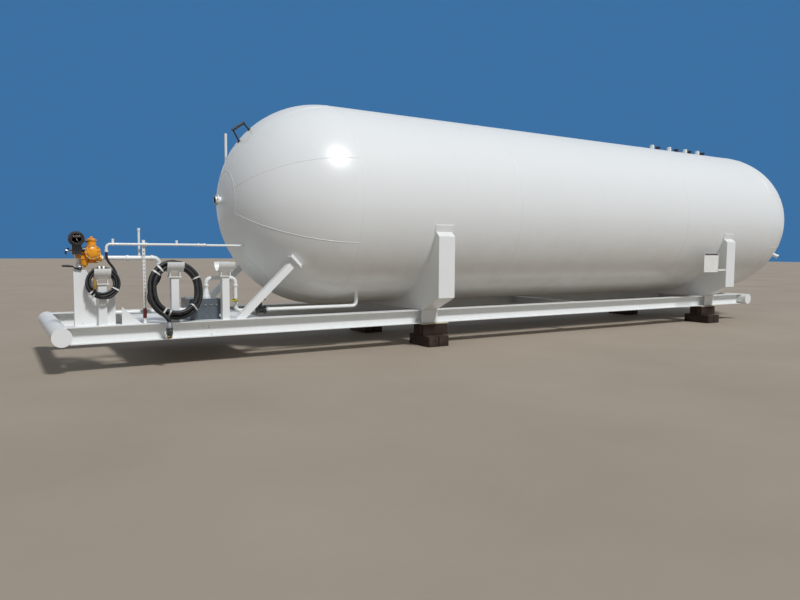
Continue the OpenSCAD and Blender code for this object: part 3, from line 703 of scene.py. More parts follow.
liquid_ties, vapor_ties = coil_ties()
at(*LIQUID_LEAD[0])
length_of(liquid_route)
at(*VAPOR_LEAD[0])
length_of(vapor_route)


# Shapes that repeat or follow a line are grown by geometry nodes
def shape_tree(name, sizes):
    """A node tree with a mesh in and out, named sizes, and the paint of what it grows."""
    tree = bpy.data.node_groups.new(name, "GeometryNodeTree")
    tree.interface.new_socket("Geometry", in_out="INPUT", socket_type="NodeSocketGeometry")
    tree.interface.new_socket("Geometry", in_out="OUTPUT", socket_type="NodeSocketGeometry")
    for size in sizes:
        tree.interface.new_socket(size, in_out="INPUT", socket_type="NodeSocketFloat")
    tree.interface.new_socket("Paint", in_out="INPUT", socket_type="NodeSocketMaterial")
    graph = Graph(tree)
    entry = tree.nodes.new("NodeGroupInput")
    given = {socket.name: Value(graph, socket) for socket in entry.outputs if socket.name}
    return graph, given


def close_tree(graph, shape, paint):
    """Ends a tree: instances made real, and the paint."""
    real = graph.node("GeometryNodeRealizeInstances", None, (shape,))
    painted = graph.node("GeometryNodeSetMaterial", None, {"Geometry": real, "Material": paint})
    leave = graph.tree.nodes.new("NodeGroupOutput")
    graph.join(painted, leave.inputs[0])
    return graph.tree


def bead_tree():
    """A weld bead along each line of edges: a round bar whose surface ripples at a steady pitch."""
    graph, given = shape_tree("weld_bead", ["Bead Width", "Ripple Pitch", "Ripple Depth"])
    line = graph.node("GeometryNodeMeshToCurve", None, (given["Geometry"],))
    sockets = {"Curve": line, "Length": given["Ripple Pitch"] / 3}
    line = graph.node("GeometryNodeResampleCurve", {"mode": "LENGTH"}, sockets)
    sockets = {"Geometry": line, "Name": "travelled"}
    sockets["Value"] = graph.node("GeometryNodeSplineParameter", output="Length")
    settings = {"data_type": "FLOAT", "domain": "POINT"}
    line = graph.node("GeometryNodeStoreNamedAttribute", settings, sockets)
    sockets = {"Resolution": 6, "Radius": given["Bead Width"] / 2}
    ring = graph.node("GeometryNodeCurvePrimitiveCircle", None, sockets)
    sockets = {"Curve": line, "Profile Curve": ring, "Fill Caps": True}
    bead = graph.node("GeometryNodeCurveToMesh", None, sockets)
    phase = graph.node("GeometryNodeInputNamedAttribute", {"data_type": "FLOAT"}, {"Name": "travelled"})
    ripple = (phase * (2 * math.pi) / given["Ripple Pitch"]).sine() * given["Ripple Depth"]
    outwards = graph.node("GeometryNodeInputNormal")
    push = graph.node("ShaderNodeVectorMath", {"operation": "SCALE"}, {"Vector": outwards, "Scale": ripple})
    bead = graph.node("GeometryNodeSetPosition", None, {"Geometry": bead, "Offset": push})
    bead = graph.node("GeometryNodeSetShadeSmooth", None, (bead,))
    return close_tree(graph, bead, given["Paint"])


def bolt_tree():
    """A hexagon head, its washer and its stud's end at each point, square to the direction stored there."""
    graph, given = shape_tree("bolt_heads", ["Head Width", "Head Height", "Washer Width"])
    width = given["Head Width"]
    height = given["Head Height"]

    def drum(sides, radius, depth):
        sockets = {"Vertices": sides, "Radius": radius, "Depth": depth}
        return graph.node("GeometryNodeMeshCylinder", {"fill_type": "NGON"}, sockets)

    def lifted(part, by):
        lift = graph.node("ShaderNodeCombineXYZ", None, {"Z": by})
        return graph.node("GeometryNodeTransform", None, {"Geometry": part, "Translation": lift})

    washer = drum(14, given["Washer Width"] / 2, height * 0.3)
    head = lifted(drum(6, width / math.sqrt(3), height), height * 0.62)
    stud = lifted(drum(8, width * 0.27, height * 0.8), height * 0.95)
    gather = graph.tree.nodes.new("GeometryNodeJoinGeometry")
    for part in (stud, washer, head):
        graph.join(part, gather.inputs[0])
    bolt = Value(graph, gather.outputs[0])
    aim = graph.node("GeometryNodeInputNamedAttribute", {"data_type": "FLOAT_VECTOR"}, {"Name": "aim"})
    turn = graph.node("FunctionNodeAlignRotationToVector", {"axis": "Z"}, {"Vector": aim})
    sockets = {"Points": given["Geometry"], "Instance": bolt, "Rotation": turn}
    bolts = graph.node("GeometryNodeInstanceOnPoints", None, sockets)
    return close_tree(graph, bolts, given["Paint"])


BEAD = bead_tree()
BOLT = bolt_tree()


def grow(name, mesh, tree, sizes, paint):
    """Runs a tree on a mesh with the given sizes, and keeps the plain mesh that it makes."""
    piece = bpy.data.objects.new(name, mesh)
    bpy.context.scene.collection.objects.link(piece)
    grower = piece.modifiers.new("grow", "NODES")
    grower.node_group = tree
    for item in tree.interface.items_tree:
        if item.item_type == "SOCKET" and item.in_out == "INPUT" and item.name in sizes:
            grower[item.identifier] = float(sizes[item.name])
        elif item.item_type == "SOCKET" and item.in_out == "INPUT" and item.name == "Paint":
            grower[item.identifier] = paint
    bpy.context.view_layer.update()
    grown = piece.evaluated_get(bpy.context.evaluated_depsgraph_get())
    made = bpy.data.meshes.new_from_object(grown)
    bpy.data.objects.remove(piece)
    made.name = name
    for attribute in [a.name for a in made.attributes if a.name in ("travelled", "aim")]:
        made.attributes.remove(made.attributes[attribute])
    if not len(made.materials):
        made.materials.append(paint)
    return place_piece(name, made)


def welds(name, lines, width, pitch, paint=None):
    """Weld beads along lines, each a list of points; a line that ends where it began is closed."""
    touching = 1e-5
    mesh = bpy.data.meshes.new(name)
    points = []
    edges = []
    for line in lines:
        first = len(points)
        closed = (Vector(line[0]) - Vector(line[-1])).length < touching
        kept = line[:-1] if closed else line
        points += [tuple(point) for point in kept]
        edges += [(first + i, first + i + 1) for i in range(len(kept) - 1)]
        if closed:
            edges.append((first + len(kept) - 1, first))
    mesh.from_pydata(points, edges, [])
    sizes = {"Bead Width": width, "Ripple Pitch": pitch, "Ripple Depth": width * 0.06}
    return grow(name, mesh, BEAD, sizes, paint or SKID)


def bolts(name, places, width, height):
    """Plated bolt heads at (point, direction) places."""
    mesh = bpy.data.meshes.new(name)
    mesh.from_pydata([tuple(point) for point, _ in places], [], [])
    aims = mesh.attributes.new("aim", "FLOAT_VECTOR", "POINT")
    for i, (_, aim) in enumerate(places):
        aims.data[i].vector = Vector(aim).normalized()
    sizes = {"Head Width": width, "Head Height": height, "Washer Width": width * 1.45}
    return grow(name, mesh, BOLT, sizes, PLATED)


def circle(centre, aim, radius, count, start=0.0):
    """Points evenly round a circle square to aim."""
    turn = Vector(aim).normalized().to_track_quat("Z", "Y")
    centre = Vector(centre)
    for i in range(count):
        angle = start + 2 * math.pi * i / count
        yield centre + turn @ Vector((radius * math.cos(angle), radius * math.sin(angle), 0))


def ring(centre, aim, radius, count):
    """A circle whose last point is its first."""
    points = list(circle(centre, aim, radius, count))
    return points + [points[0]]


def bolt_ring(centre, aim, radius, count, start=0.3):
    return [(point, aim) for point in circle(centre, aim, radius, count, start)]


def clock(angle):
    """The way that a hand of the gauge points, at an angle from upright, and the way across it."""
    turn = math.radians(angle)
    return Vector((0, math.sin(turn), math.cos(turn))), Vector((0, math.cos(turn), -math.sin(turn)))


def spoke(angle):
    """The way outwards, at an angle in a face that looks to the near side, and the way across it."""
    turn = math.radians(angle)
    return Vector((math.cos(turn), 0, math.sin(turn))), Vector((-math.sin(turn), 0, math.cos(turn)))


# The CAD's own pieces get their paints: by their slots, but for the vessel and a few pieces
FINISHES = {"white_paint": SKID, "black_paint": BLACK, "timber": TIMBER_Y, "meter_paint": ORANGE,
    "slate_paint": SLATE, "dark_iron": IRON, "valve_steel": STEEL, "valve_brass": BRASS, "sign_face": SIGN,
    "hose_rubber": RUBBER}
OWN_PAINTS = {"meter_register": REGISTER, "inlet_valve": SKID, "liquid_hose_valve": IRON}
OWN_PAINTS.update(dict.fromkeys(("shell", "front_head", "rear_head", "head_gauge", "head_pipe"), VESSEL))
OWN_PAINTS.update(dict.fromkeys(("rear_coupling", "relief_stacks"), VESSEL))


def paint_nodes():
    """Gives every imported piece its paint."""
    for part in frame["record"]["subparts"]:
        piece = nodes[part["node"]]
        paint = OWN_PAINTS.get(part["node"], FINISHES[part["material_slot"]])
        if not piece.material_slots:
            piece.data.materials.append(paint)
        for slot in piece.material_slots:
            slot.material = paint


paint_nodes()


# Vessel: seams of the rolled courses and of the pressed head plates, sunk a little into the plate
SEAM = 0.014
SEAM_PITCH = 0.045
SEAM_RADIUS = RADIUS - SEAM * 0.22
CROWN = 0.49
PETALS = 8
COURSE_ENDS = (0.0, 3.150, 7.830, SHELL)
SEAM_ANGLES = (118, 62)


def head_seams(end, way):
    """The crown circle and the petal seams of a head. end is its face on the shell, way its direction."""
    crown_at = end + way * math.sqrt(SEAM_RADIUS**2 - CROWN**2)
    lines = [ring((crown_at, 0, AXIS), ALONG, CROWN, 64)]
    first = math.asin(CROWN / SEAM_RADIUS)
    steps = 32
    for petal in range(PETALS):
        side = math.radians(360 / PETALS * (petal + 0.5))
        line = []
        for step in range(steps + 1):
            angle = first + (math.pi / 2 - first) * step / steps
            out = SEAM_RADIUS * math.sin(angle)
            x = end + way * SEAM_RADIUS * math.cos(angle)
            line.append((x, out * math.cos(side), AXIS + out * math.sin(side)))
        lines.append(line)
    return lines


def shell_seams():
    """Round seams where the courses meet, and one lengthwise seam in each course, set apart in turn."""
    lines = [ring((FRONT + back, 0, AXIS), ALONG, SEAM_RADIUS, 128) for back in COURSE_ENDS]
    for course, (start, end) in enumerate(zip(COURSE_ENDS, COURSE_ENDS[1:])):
        angle = math.radians(SEAM_ANGLES[course % 2])
        spot = (SEAM_RADIUS * math.cos(angle), AXIS + SEAM_RADIUS * math.sin(angle))
        lines.append([(FRONT + start + (end - start) * k, *spot) for k in (0, 0.5, 1)])
    return lines


welds("shell_seams", shell_seams(), SEAM, SEAM_PITCH, VESSEL)
welds("front_head_seams", head_seams(FRONT, -1), SEAM, SEAM_PITCH, VESSEL)
welds("rear_head_seams", head_seams(FRONT + SHELL, 1), SEAM, SEAM_PITCH, VESSEL)


def gauge_details():
    """Flange bolts, bezel, dial face and pointer on the gauge in the middle of the front head."""
    low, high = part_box("head_gauge")
    hub = Vector((low.x, (low.y + high.y) / 2, (low.z + high.z) / 2))
    flange = hub - AHEAD * 0.026
    bolts("gauge_bolts", bolt_ring(flange, AHEAD, radius=0.075, count=8), width=0.016, height=0.010)
    bezel = [(-0.002, 0.066), (0.006, 0.066), (0.010, 0.062), (0.010, 0.055), (0.004, 0.053)]
    Shape().turned(hub, AHEAD, bezel, 40).finish("gauge_bezel", PLATED, "valve_steel")
    face = [(0.0, 0.054), (0.004, 0.054)]
    Shape().turned(hub, AHEAD, face, 40).finish("gauge_face", SIGN, "sign_face")
    marks = Shape()
    for mark in range(9):
        out, side = clock(-120 + 30 * mark)
        marks.bar(hub + AHEAD * 0.0042, out, side * 0.0012, 0.040, 0.050, AHEAD * 0.001)
    out, side = clock(35)
    marks.pointer(hub + AHEAD * 0.0044, out, side, 0.042, AHEAD * 0.0015)
    marks.finish("gauge_marks", BLACK, "black_paint")
    pipe = 0.055
    foot = (FRONT - math.sqrt(RADIUS**2 - pipe**2), 0, middle("head_gauge").z)
    welds("gauge_weld", [ring(foot, ALONG, pipe + 0.003, 40)], width=0.014, pitch=0.02, paint=VESSEL)


gauge_details()


# How far the relief stacks and the capped ones stand from the rear end of the shell
STACKS = (2.396, 1.761, 1.141, 0.649)
CAPS = (2.182, 1.487, 0.974, 0.443)


def relief_details():
    """Fillets round the relief stacks, a hexagon and a band on the open ones, a cover on the capped ones."""
    open_fillet = [(0, 0.062), (0.012, 0.058), (0.018, 0.047), (0.03, 0.0455)]
    hexagon = bevelled(0.035, 0.054, 0.003, 0.004)
    band = [(0, 0.0455), (0.004, 0.0485), (0.02, 0.0485), (0.0225, 0.0455)]
    capped_fillet = [(0, 0.056), (0.012, 0.052), (0.018, 0.042), (0.03, 0.0405)]
    rim = [(-0.004, 0.0600), (0.0, 0.0625), (0.008, 0.0625), (0.011, 0.0600)]
    cover = [(0, 0.058), (0.004, 0.050), (0.0045, 0.012)]
    sunk = -0.004
    collars = Shape()
    for back in STACKS:
        foot = Vector((FRONT + SHELL - back, 0, AXIS + RADIUS))
        collars.turned(foot + UP * sunk, UP, open_fillet, 32)
        collars.turned(foot + UP * 0.055, UP, hexagon, 6)
        collars.turned(foot + UP * 0.108, UP, band, 32)
    rims = Shape()
    for back in CAPS:
        foot = Vector((FRONT + SHELL - back, 0, AXIS + RADIUS))
        collars.turned(foot + UP * sunk, UP, capped_fillet, 32)
        rims.turned(foot + UP * 0.070, UP, rim, 32)
        rims.turned(foot + UP * 0.103, UP, cover, 32)
    collars.finish("relief_collars", VESSEL, "white_paint")
    rims.finish("relief_rims", BLACK, "black_paint")


relief_details()


# Supports: a wear plate between each saddle and the shell, with its weld beads
PLATE = 0.012
PLATE_OVERHANG = 0.012
PLATE_RISE = 0.10


def on_shell(x, angle, out):
    """A place round the shell, at an angle from its lowest line and a little out from its skin."""
    return (x, (RADIUS + out) * math.sin(angle), AXIS - (RADIUS + out) * math.cos(angle))


def arc(reach, steps):
    """Angles evenly from one side of the lowest line to the other."""
    return [-reach + 2 * reach * step / steps for step in range(steps + 1)]


def wear_plate(node):
    """A thin plate bent round the shell, wider and reaching higher than the saddle it lies in."""
    low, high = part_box(node)
    top = math.acos((AXIS - high.z) / RADIUS)
    reach = math.acos((AXIS - high.z - PLATE_RISE) / RADIUS)
    ends = (low.x - PLATE_OVERHANG, high.x + PLATE_OVERHANG)
    clear = 0.0006
    corners = ((ends[0], clear), (ends[1], clear), (ends[1], PLATE), (ends[0], PLATE))
    shape = Shape()
    rings = []
    for angle in arc(reach, 72):
        rings.append([shape.mesh.verts.new(on_shell(x, angle, out)) for x, out in corners])
    shape.skin(rings)
    shape.finish(f"{node}_wear_plate", VESSEL, "white_paint", sharp=30)
    bead = 0.002
    lines = [[on_shell(x, angle, bead) for angle in arc(reach, 64)] for x in ends]
    lines += [[on_shell(x, side * reach, bead) for x in ends] for side in (-1, 1)]
    lines += [[on_shell(x, angle, PLATE) for angle in arc(top, 64)] for x in (low.x, high.x)]
    welds(f"{node}_welds", lines, width=0.016, pitch=0.03)


wear_plate("front_saddle")
wear_plate("rear_saddle")


# Skid: the feet of what stands on the beams, and the bumpers' end plates
POST = 0.102


def rectangle(low, high, z):
    corners = [(low.x, low.y, z), (high.x, low.y, z), (high.x, high.y, z), (low.x, high.y, z)]
    return corners + [corners[0]]


def post_feet():
    """Fillets where the posts, the meter panel and the saddles stand on the beams."""
    beam_low, beam_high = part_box("near_beam")
    beam_middle = (beam_low.y + beam_high.y) / 2
    z = BEAM_TOP + 0.002
    half = Vector((POST / 2, POST / 2, 0))
    lines = []
    for node in ("vapor_hanger", "liquid_hanger", "spare_hanger"):
        post = Vector((middle(node).x, beam_middle, 0))
        lines.append(rectangle(post - half, post + half, z))
    low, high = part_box("meter_panel")
    lines.append([(low.x, low.y, z), (high.x, low.y, z)])
    lines.append(rectangle(*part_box("perforated_post"), z))
    for node in ("front_saddle", "rear_saddle"):
        low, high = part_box(node)
        for side in (-1, 1):
            for x in (low.x, high.x):
                lines.append([(x, -side * beam_high.y, z), (x, -side * beam_low.y, z)])
    return lines


welds("post_foot_welds", post_feet(), width=0.014, pitch=0.024)


def bumper_welds():
    """Beads round the bumper pipes' end plates, sunk to half their width."""
    end_plate = 0.011
    bead = 0.012
    lines = []
    for node in ("front_bumper", "rear_bumper"):
        low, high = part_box(node)
        centre = (low + high) / 2
        radius = (high.z - low.z) / 2 - bead / 2
        for y, way in ((low.y + end_plate, NEAR), (high.y - end_plate, BACK)):
            lines.append(ring((centre.x, y, centre.z), way, radius, 56))
    welds("bumper_welds", lines, width=bead, pitch=0.026)


bumper_welds()


# Timber: each block of the CAD becomes an old sawn baulk with worn edges
def solids_of(node):
    """The two corners of the box of each separate solid of a CAD node."""
    part = bmesh.new()
    part.from_mesh(nodes[node].data)
    bmesh.ops.remove_doubles(part, verts=part.verts[:], dist=1e-5)
    left = set(part.verts)
    found = []
    while left:
        todo = [left.pop()]
        group = []
        while todo:
            vert = todo.pop()
            group.append(vert.co.copy())
            for edge in vert.link_edges:
                other = edge.other_vert(vert)
                if other in left:
                    left.remove(other)
                    todo.append(other)
        low = Vector(min(spot[k] for spot in group) for k in range(3))
        high = Vector(max(spot[k] for spot in group) for k in range(3))
        found.append((low, high))
    part.free()
    return sorted(found, key=lambda box: tuple(box[0]))


def baulk(shape, low, high, seed):
    """A sawn timber: its edges rounded by wear, and its sides slightly uneven from end to end."""
    inset = Vector((0.002, 0.002, 0.002))
    part = cube(low + inset, high - inset, 0.007, 0.6)
    size = high - low
    long = 0 if size.x > size.y else 1
    grain = ALONG if long == 0 else BACK
    cuts = 8
    for cut in range(1, cuts):
        spot = low.copy()
        spot[long] += size[long] * cut / cuts
        everything = part.verts[:] + part.edges[:] + part.faces[:]
        bmesh.ops.bisect_plane(part, geom=everything, plane_co=spot, plane_no=grain)
    centre = (low + high) / 2
    side_skin = 0.012
    for vert in part.verts:
        wear = noise.noise(vert.co * 5.5 + Vector((seed * 7.3, seed * 3.1, 0)))
        pull = max(0.0045 * (0.5 + wear), 0.0)
        for k in (0, 1):
            if abs(abs(vert.co[k] - centre[k]) - size[k] / 2) < side_skin:
                vert.co[k] -= math.copysign(pull, vert.co[k] - centre[k])
    shape.take(part)


def timbers(node):
    """Replaces a node's timbers by worn ones: the lower lie crosswise, the upper along the beam."""
    blocks = solids_of(node)
    ground = 0.05
    lower = Shape()
    upper = Shape()
    for seed, (low, high) in enumerate(blocks):
        baulk(lower if low.z < ground else upper, low, high, seed)
    crosswise = lower.finish(f"{node}_lower", TIMBER_Y, "timber")
    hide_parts(node)
    upper.finish(f"{node}_upper", TIMBER_X, "timber")
    # Thin boards on top of the upper timbers, in pale cream. The cream is partly painted light: it stands in
    # for the sunlit tops of the timbers.
    boards_painted_lit_tops = Shape()
    for low, high in blocks:
        if low.z > ground:
            foot = (low.x - 0.012, low.y - 0.004, high.z - 0.016)
            top = (high.x + 0.012, high.y + 0.004, high.z - 0.0005)
            boards_painted_lit_tops.block(foot, top, 0.002)
    boards_painted_lit_tops.finish(f"{node}_boards", CREAM, "timber")


timbers("front_timbers")
timbers("rear_timbers")


# Lines of the pipes: how far behind the front of the shell, across and up
LOADING_Y = -1.020
LOADING_Z = 1.485
SLEEVE_X = -2.829
RISER_X = -3.810
RISER_Y = -0.930
INLET_Z = 1.352
VAPOR_Z = 1.666
DRAIN_X = -1.720
SUCTION_Y = -0.850
SUCTION_Z = 0.700
METER_X = -3.662
REGISTER_X = -3.848


# Metering: flanges, covers, dial and bolts on the meter and its register
def meter_details():
    """The meter's ribbed cover, its strainer's cap and bowl, its outlet flange, and their bolts."""
    hub = at(METER_X, -1.112, 1.560)
    cover_bolts = bolt_ring(hub, NEAR, radius=0.084, count=10, start=0.2)
    bolts("meter_cover_bolts", cover_bolts, width=0.015, height=0.010)
    dome = [(-0.001, 0.070), (0.006, 0.068), (0.016, 0.052), (0.020, 0.030), (0.021, 0.008)]
    cover = Shape().turned(hub, NEAR, dome, 40)
    for rib in range(6):
        out, side = spoke(60 * rib + 15)
        cover.bar(hub, out, side * 0.004, 0.012, 0.066, NEAR * 0.020)
    cover.finish("meter_cover", ORANGE, "meter_paint")

    strainer = at(METER_X, -0.990, 1.722)
    lid = [(-0.001, 0.050), (0.010, 0.050), (0.016, 0.042), (0.018, 0.020)]
    plug = [(0, 0.018), (0.022, 0.018), (0.024, 0.014)]
    cap = Shape().turned(strainer, UP, lid, 32).turned(strainer + UP * 0.018, UP, plug, 6)
    cap.finish("strainer_cap", ORANGE, "meter_paint")
    cap_bolts = bolt_ring(strainer, UP, radius=0.056, count=6)
    bolts("strainer_bolts", cap_bolts, width=0.013, height=0.009)

    outlet = at(-3.570, LOADING_Y, LOADING_Z)
    flange = [(-0.004, 0.046), (0.0, 0.050), (0.014, 0.050), (0.018, 0.046)]
    Shape().turned(outlet, ALONG, flange, 32).finish("meter_outlet_flange", ORANGE, "meter_paint")

    bowl_foot = at(-3.750, LOADING_Y, 1.382)
    drain_plug = [(-0.022, 0.016), (-0.020, 0.018), (0, 0.018)]
    bowl = [(0, 0.022), (0.008, 0.036), (0.030, 0.044), (0.090, 0.047), (0.092, 0.060), (0.108, 0.060),
        (0.110, 0.048), (0.135, 0.044)]
    bowl = Shape().turned(bowl_foot, UP, drain_plug, 6).turned(bowl_foot, UP, bowl, 36)
    bowl.finish("meter_strainer_bowl", ORANGE, "meter_paint")
    rim_bolts = bolt_ring(bowl_foot + UP * 0.092, DOWN, radius=0.053, count=6)
    bolts("strainer_bowl_bolts", rim_bolts, width=0.009, height=0.006)
    flange_bolts = bolt_ring(outlet + ALONG * 0.017, ALONG, radius=0.040, count=6)
    bolts("outlet_flange_bolts", flange_bolts, width=0.010, height=0.007)


def register_details():
    """The register's front: a bezel, and a glass over a bare dial with ticks, a hand and a counter."""
    hub = at(REGISTER_X, -1.162, 1.732)
    bezel = [(-0.006, 0.084), (0.004, 0.087), (0.012, 0.084), (0.014, 0.074), (0.006, 0.071)]
    Shape().turned(hub, NEAR, bezel, 56).finish("register_bezel", REGISTER, "black_paint")
    glass = [(-0.001, 0.0715), (0.005, 0.0715), (0.006, 0.066)]
    Shape().turned(hub, NEAR, glass, 48).finish("register_glass", GLASS, "black_paint")

    wheel = bevelled(0.014, 0.0068, 0.001, 0.0008)
    counter = Shape()
    counter.block(hub + Vector((-0.046, -0.0085, 0.012)), hub + Vector((0.046, -0.005, 0.038)), 0.002)
    for place in range(5):
        spot = hub + Vector((-0.042 + place * 0.0175, -0.0075, 0.026))
        counter.turned(spot, ALONG, wheel, 16)
    counter.finish("register_counter", SIGN, "sign_face")

    marks = Shape()
    for tick in range(20):
        out, side = spoke(18 * tick)
        marks.bar(hub + NEAR * 0.0055, out, side * 0.0012, 0.056, 0.064, NEAR * 0.001)
    out, side = spoke(-60)
    marks.pointer(hub + NEAR * 0.0056 + DOWN * 0.012, out, side, 0.043, NEAR * 0.0015)
    marks.finish("register_marks", TAPE, "sign_face")
    register_fittings(hub)


def register_fittings(hub):
    """Ridges round the register's barrel, a knob on its side, and a small tap ahead of it."""
    ridge = bevelled(0.012, 0.095, 0.003, 0.004)
    knob = [(-0.01, 0.008), (0.012, 0.008), (0.013, 0.016), (0.034, 0.015), (0.036, 0.012)]
    pitch = 0.035
    ridges = Shape()
    for step in range(3):
        ridges.turned(hub + BACK * pitch * (step + 1), BACK, ridge, 56)
    ridges.turned(at(-3.758, -1.080, 1.700), ALONG, knob, 20)
    ridges.finish("register_ridges", REGISTER, "black_paint")

    tap = at(-3.890, -1.055, 1.580)
    nipple = [(0, 0.010), (0.022, 0.010), (0.023, 0.017), (0.043, 0.017), (0.044, 0.011), (0.080, 0.011),
        (0.082, 0.008)]
    Shape().turned(tap, AHEAD, nipple, 6).finish("register_fitting", PLATED, "valve_steel")
    handle = [(0, 0.007), (0.010, 0.007), (0.011, 0.017), (0.022, 0.017), (0.024, 0.014)]
    spout = [(0, 0.009), (0.010, 0.013), (0.040, 0.011), (0.046, 0.006)]
    grip = Shape().turned(tap + Vector((-0.056, 0, 0.009)), UP, handle, 12)
    grip.turned(tap + Vector((-0.080, 0, -0.002)), DOWN, spout, 16)
    grip.finish("register_fitting_grip", BLACK, "black_paint")

    foot = at(REGISTER_X, -1.060, 1.531)
    corners = [Vector((x, y, 0)) for x in (-0.042, 0.042) for y in (-0.038, 0.038)]
    bolts("register_bolts", [(foot + corner, DOWN) for corner in corners], width=0.011, height=0.008)


meter_details()
register_details()


def valve_details():
    """Flange bolts on the inlet valve, its bonnet, its stem's nut, and the ribbed grip on its lever."""
    centre = at(RISER_X, RISER_Y, INLET_Z)
    places = []
    for way in (DOWN, UP):
        places += bolt_ring(centre - way * 0.038, way, radius=0.041, count=4, start=0.78)
    bolts("inlet_valve_bolts", places, width=0.011, height=0.008)
    bonnet = [(0, 0.030), (0.004, 0.033), (0.02, 0.033), (0.026, 0.016), (0.034, 0.014)]
    bonnet = Shape().turned(centre + NEAR * 0.060, NEAR, bonnet, 24)
    bonnet.finish("inlet_valve_bonnet", STEEL, "valve_steel")
    nut = [(0, 0.012), (0.001, 0.0135), (0.006, 0.0135), (0.0065, 0.010)]
    Shape().turned(centre + NEAR * 0.1485, NEAR, nut, 6).finish("lever_nut", PLATED, "valve_steel")

    valley = 0.0135
    crest = 0.0142
    grip = [(0, 0.010), (0.002, valley)]
    for ridge in range(6):
        start = 0.006 + 0.011 * ridge
        grip += [(start, valley), (start + 0.003, crest), (start + 0.007, crest), (start + 0.009, valley)]
    grip += [(0.074, valley), (0.077, 0.011)]
    grip = Shape().turned(at(-4.018, -1.073, 1.386), ALONG, grip, 20)
    grip.finish("lever_grip", BLACK, "black_paint", "lever")


valve_details()


def pump_details():
    """A seam flange and bolts on the pump's housing, bolts round its reducer, and the line valve's rim."""
    low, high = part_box("pump_body")
    lip = 0.004
    lip_low = high.z - 0.10
    lip_high = high.z - 0.075
    flange = Shape()
    flange.block((low.x - lip, low.y - lip, lip_low), (high.x + lip, high.y + lip, lip_high), 0.003)
    flange.finish("pump_lip", SLATE, "slate_paint")
    pitch = 0.08
    front = Vector((low.x + 0.06, low.y - lip, (lip_low + lip_high) / 2))
    spots = [(front + ALONG * pitch * i, NEAR) for i in range(5)]
    inset = 0.04
    for x in (low.x + inset, high.x - inset):
        spots += [(Vector((x, y, high.z)), UP) for y in (low.y + inset, high.y - inset)]
    bolts("pump_bolts", spots, width=0.018, height=0.012)

    reducer = middle("pump_reducer")
    reducer.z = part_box("pump_reducer")[0].z + 0.020
    bolts("reducer_bolts", bolt_ring(reducer, UP, radius=0.0575, count=8), width=0.010, height=0.007)

    low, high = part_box("line_valve")
    places = []
    for x, way in ((low.x + 0.020, ALONG), (high.x - 0.020, AHEAD)):
        places += bolt_ring((x, SUCTION_Y, SUCTION_Z), way, radius=0.054, count=6)
    bolts("line_valve_bolts", places, width=0.012, height=0.008)
    wheel = Vector(((low.x + high.x) / 2, SUCTION_Y, high.z - 0.008))
    rim = Shape().hoop(list(circle(wheel, UP, 0.078, 40)), 0.009, 10)
    rim.finish("line_valve_wheel_rim", IRON, "dark_iron")


pump_details()


def drain_valve():
    """A small brass valve with a vinyl-dipped lever, low on the pipe that comes down beside the brace."""
    pipe = at(DRAIN_X, SUCTION_Y, 0.860)
    barrel = bevelled(0.044, 0.036, 0.002, 0.005)
    bonnet = [(0, 0.018), (0.012, 0.020), (0.040, 0.020), (0.046, 0.012)]
    stem = [(0, 0.007), (0.018, 0.007), (0.020, 0.005)]
    body = Shape().turned(pipe + DOWN * 0.022, UP, barrel, 32)
    body.turned(pipe + NEAR * 0.030, NEAR, bonnet, 6)
    body.turned(pipe + NEAR * 0.074, NEAR, stem, 16)
    body.finish("drain_valve", BRASS, "valve_brass")
    lever = Shape()
    lever.block(pipe + Vector((-0.115, -0.092, -0.009)), pipe + Vector((0.016, -0.087, 0.009)), 0.002)
    lever.finish("drain_lever", GREEN_GRIP, "valve_brass")


drain_valve()


def post_sleeve():
    """The red sleeve round the foot of the perforated post, of four thin plates."""
    low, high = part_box("perforated_post")
    foot = low.z + 0.07
    top = low.z + 0.20
    inner = 0.0005
    outer = 0.004
    sleeve = Shape()
    for start, end in ((low.x - outer, low.x - inner), (high.x + inner, high.x + outer)):
        sleeve.block((start, low.y - outer, foot), (end, high.y + outer, top), 0.001)
    for start, end in ((low.y - outer, low.y - inner), (high.y + inner, high.y + outer)):
        sleeve.block((low.x - inner, start, foot), (high.x + inner, end, top), 0.001)
    sleeve.finish("post_foot_sleeve", RED, "dark_iron")


post_sleeve()


def pipe_collars():
    """Unions, couplings and elbows' rims along the white pipes."""
    shape = Shape()
    wide = bevelled(0.033, 0.0385, 0.003, 0.0075)
    for x in (-3.250, -2.940):
        shape.turned(at(x, LOADING_Y, LOADING_Z), ALONG, wide, 28)
    upright = ((RISER_X, RISER_Y, 1.235), (RISER_X, RISER_Y, 0.840), (SLEEVE_X, LOADING_Y, 1.374),
        (-2.150, SUCTION_Y, 1.070), (DRAIN_X, SUCTION_Y, 1.060), (DRAIN_X, SUCTION_Y, 0.800))
    for spot in upright:
        shape.turned(at(*spot), UP, wide, 28)
    for x in (-1.500, -1.230):
        shape.turned(at(x, SUCTION_Y, SUCTION_Z), ALONG, wide, 28)
    thin = bevelled(0.029, 0.0225, 0.003, 0.0053)
    shape.turned(at(-3.500, VAPOR_Y, 1.562), UP, thin, 24)
    for x in (-3.435, -3.020, -2.625, -2.330):
        shape.turned(at(x, VAPOR_Y, VAPOR_Z), ALONG, thin, 24)
    shape.turned(at(-2.200, -1.000, VAPOR_Z), BACK, thin, 24)
    shape.finish("pipe_collars", SKID, "white_paint")


pipe_collars()


# Sign: how far its plate begins ahead of the rear saddle, and how wide it is
SIGN_AHEAD = 0.794
SIGN_WIDE = 0.505


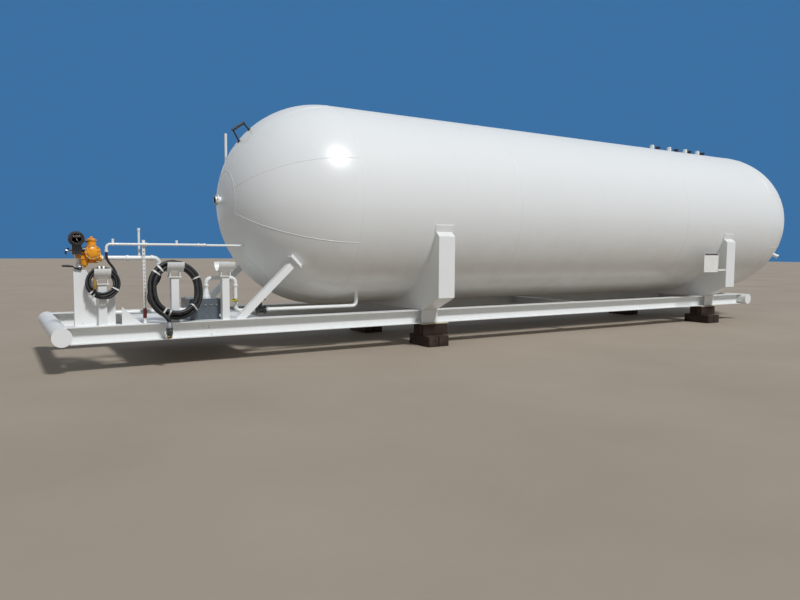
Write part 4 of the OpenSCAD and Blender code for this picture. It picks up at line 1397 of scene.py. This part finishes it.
def sign_details():
    """A folded rim round the bare sign, and its four screws."""
    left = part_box("rear_saddle")[0].x - SIGN_AHEAD
    right = left + SIGN_WIDE
    near = sign_low.y
    lip = 0.004
    fold = 0.006
    sides = ((left - lip, right + lip, sign_low.z - lip, sign_low.z + fold),
        (left - lip, right + lip, sign_high.z - fold, sign_high.z + lip),
        (left - lip, left + fold, sign_low.z, sign_high.z),
        (right - fold, right + lip, sign_low.z, sign_high.z))
    rim = Shape()
    for start, end, foot, top in sides:
        rim.block((start, near - lip, foot), (end, near + fold, top), 0.002)
    rim.finish("sign_rim", SKID, "white_paint")
    inset = 0.03
    screws = []
    for x in (left + inset, right - inset):
        screws += [(Vector((x, near, z)), NEAR) for z in (sign_low.z + inset, sign_high.z - inset)]
    bolts("sign_screws", screws, width=0.012, height=0.006)


sign_details()


# Stage: a sandy floor, a plain blue backdrop that only the camera sees, a sun and a weak fill
SKY = shade(0.25, 0.44, 0.63)
STUDIO = shade(0.80, 0.84, 0.89)
FLOOR_REACH = 120.0


def make_stage():
    mesh = bpy.data.meshes.new("floor")
    corners = [(FLOOR_REACH * x, FLOOR_REACH * y, 0) for x, y in ((-1, -1), (1, -1), (1, 1), (-1, 1))]
    mesh.from_pydata(corners, [], [(0, 1, 2, 3)])
    mesh.materials.append(floor_paint())
    floor = bpy.data.objects.new("floor", mesh)
    bpy.context.scene.collection.objects.link(floor)
    world = bpy.data.worlds.new("studio")
    bpy.context.scene.world = world
    world.use_nodes = True
    graph = Graph(world.node_tree)
    ray = world.node_tree.nodes.new("ShaderNodeLightPath")
    bright = Value(graph, ray.outputs["Is Glossy Ray"]) + Value(graph, ray.outputs["Is Transmission Ray"])
    camera = Value(graph, ray.outputs["Is Camera Ray"])
    backdrop = world.node_tree.nodes["Background"]
    settings = {"data_type": "RGBA", "blend_type": "MIX"}
    sky = graph.node("ShaderNodeMix", settings, {0: camera, 6: STUDIO, 7: SKY}, output=2)
    graph.join(sky, backdrop.inputs["Color"])
    graph.join(0.25 + 0.50 * bright.larger(0.0) + 0.75 * camera, backdrop.inputs["Strength"])


def sun(name, place, target, energy, angle, colour):
    data = bpy.data.lights.new(name, "SUN")
    data.energy = energy
    data.color = colour
    data.angle = math.radians(angle)
    light = bpy.data.objects.new(name, data)
    light.location = place
    light.rotation_euler = (Vector(target) - Vector(place)).to_track_quat("-Z", "Y").to_euler()
    bpy.context.scene.collection.objects.link(light)


make_stage()
sun("key", (1.0, -6.2, 7.8), (0, 0, 0), energy=2.55, angle=8, colour=(0.985, 0.99, 1.0))
sun("fill", (-14, -9, 7), (0, 0, 1), energy=0.15, angle=50, colour=(0.94, 0.97, 1.0))

bpy.context.scene.view_settings.view_transform = "Standard"
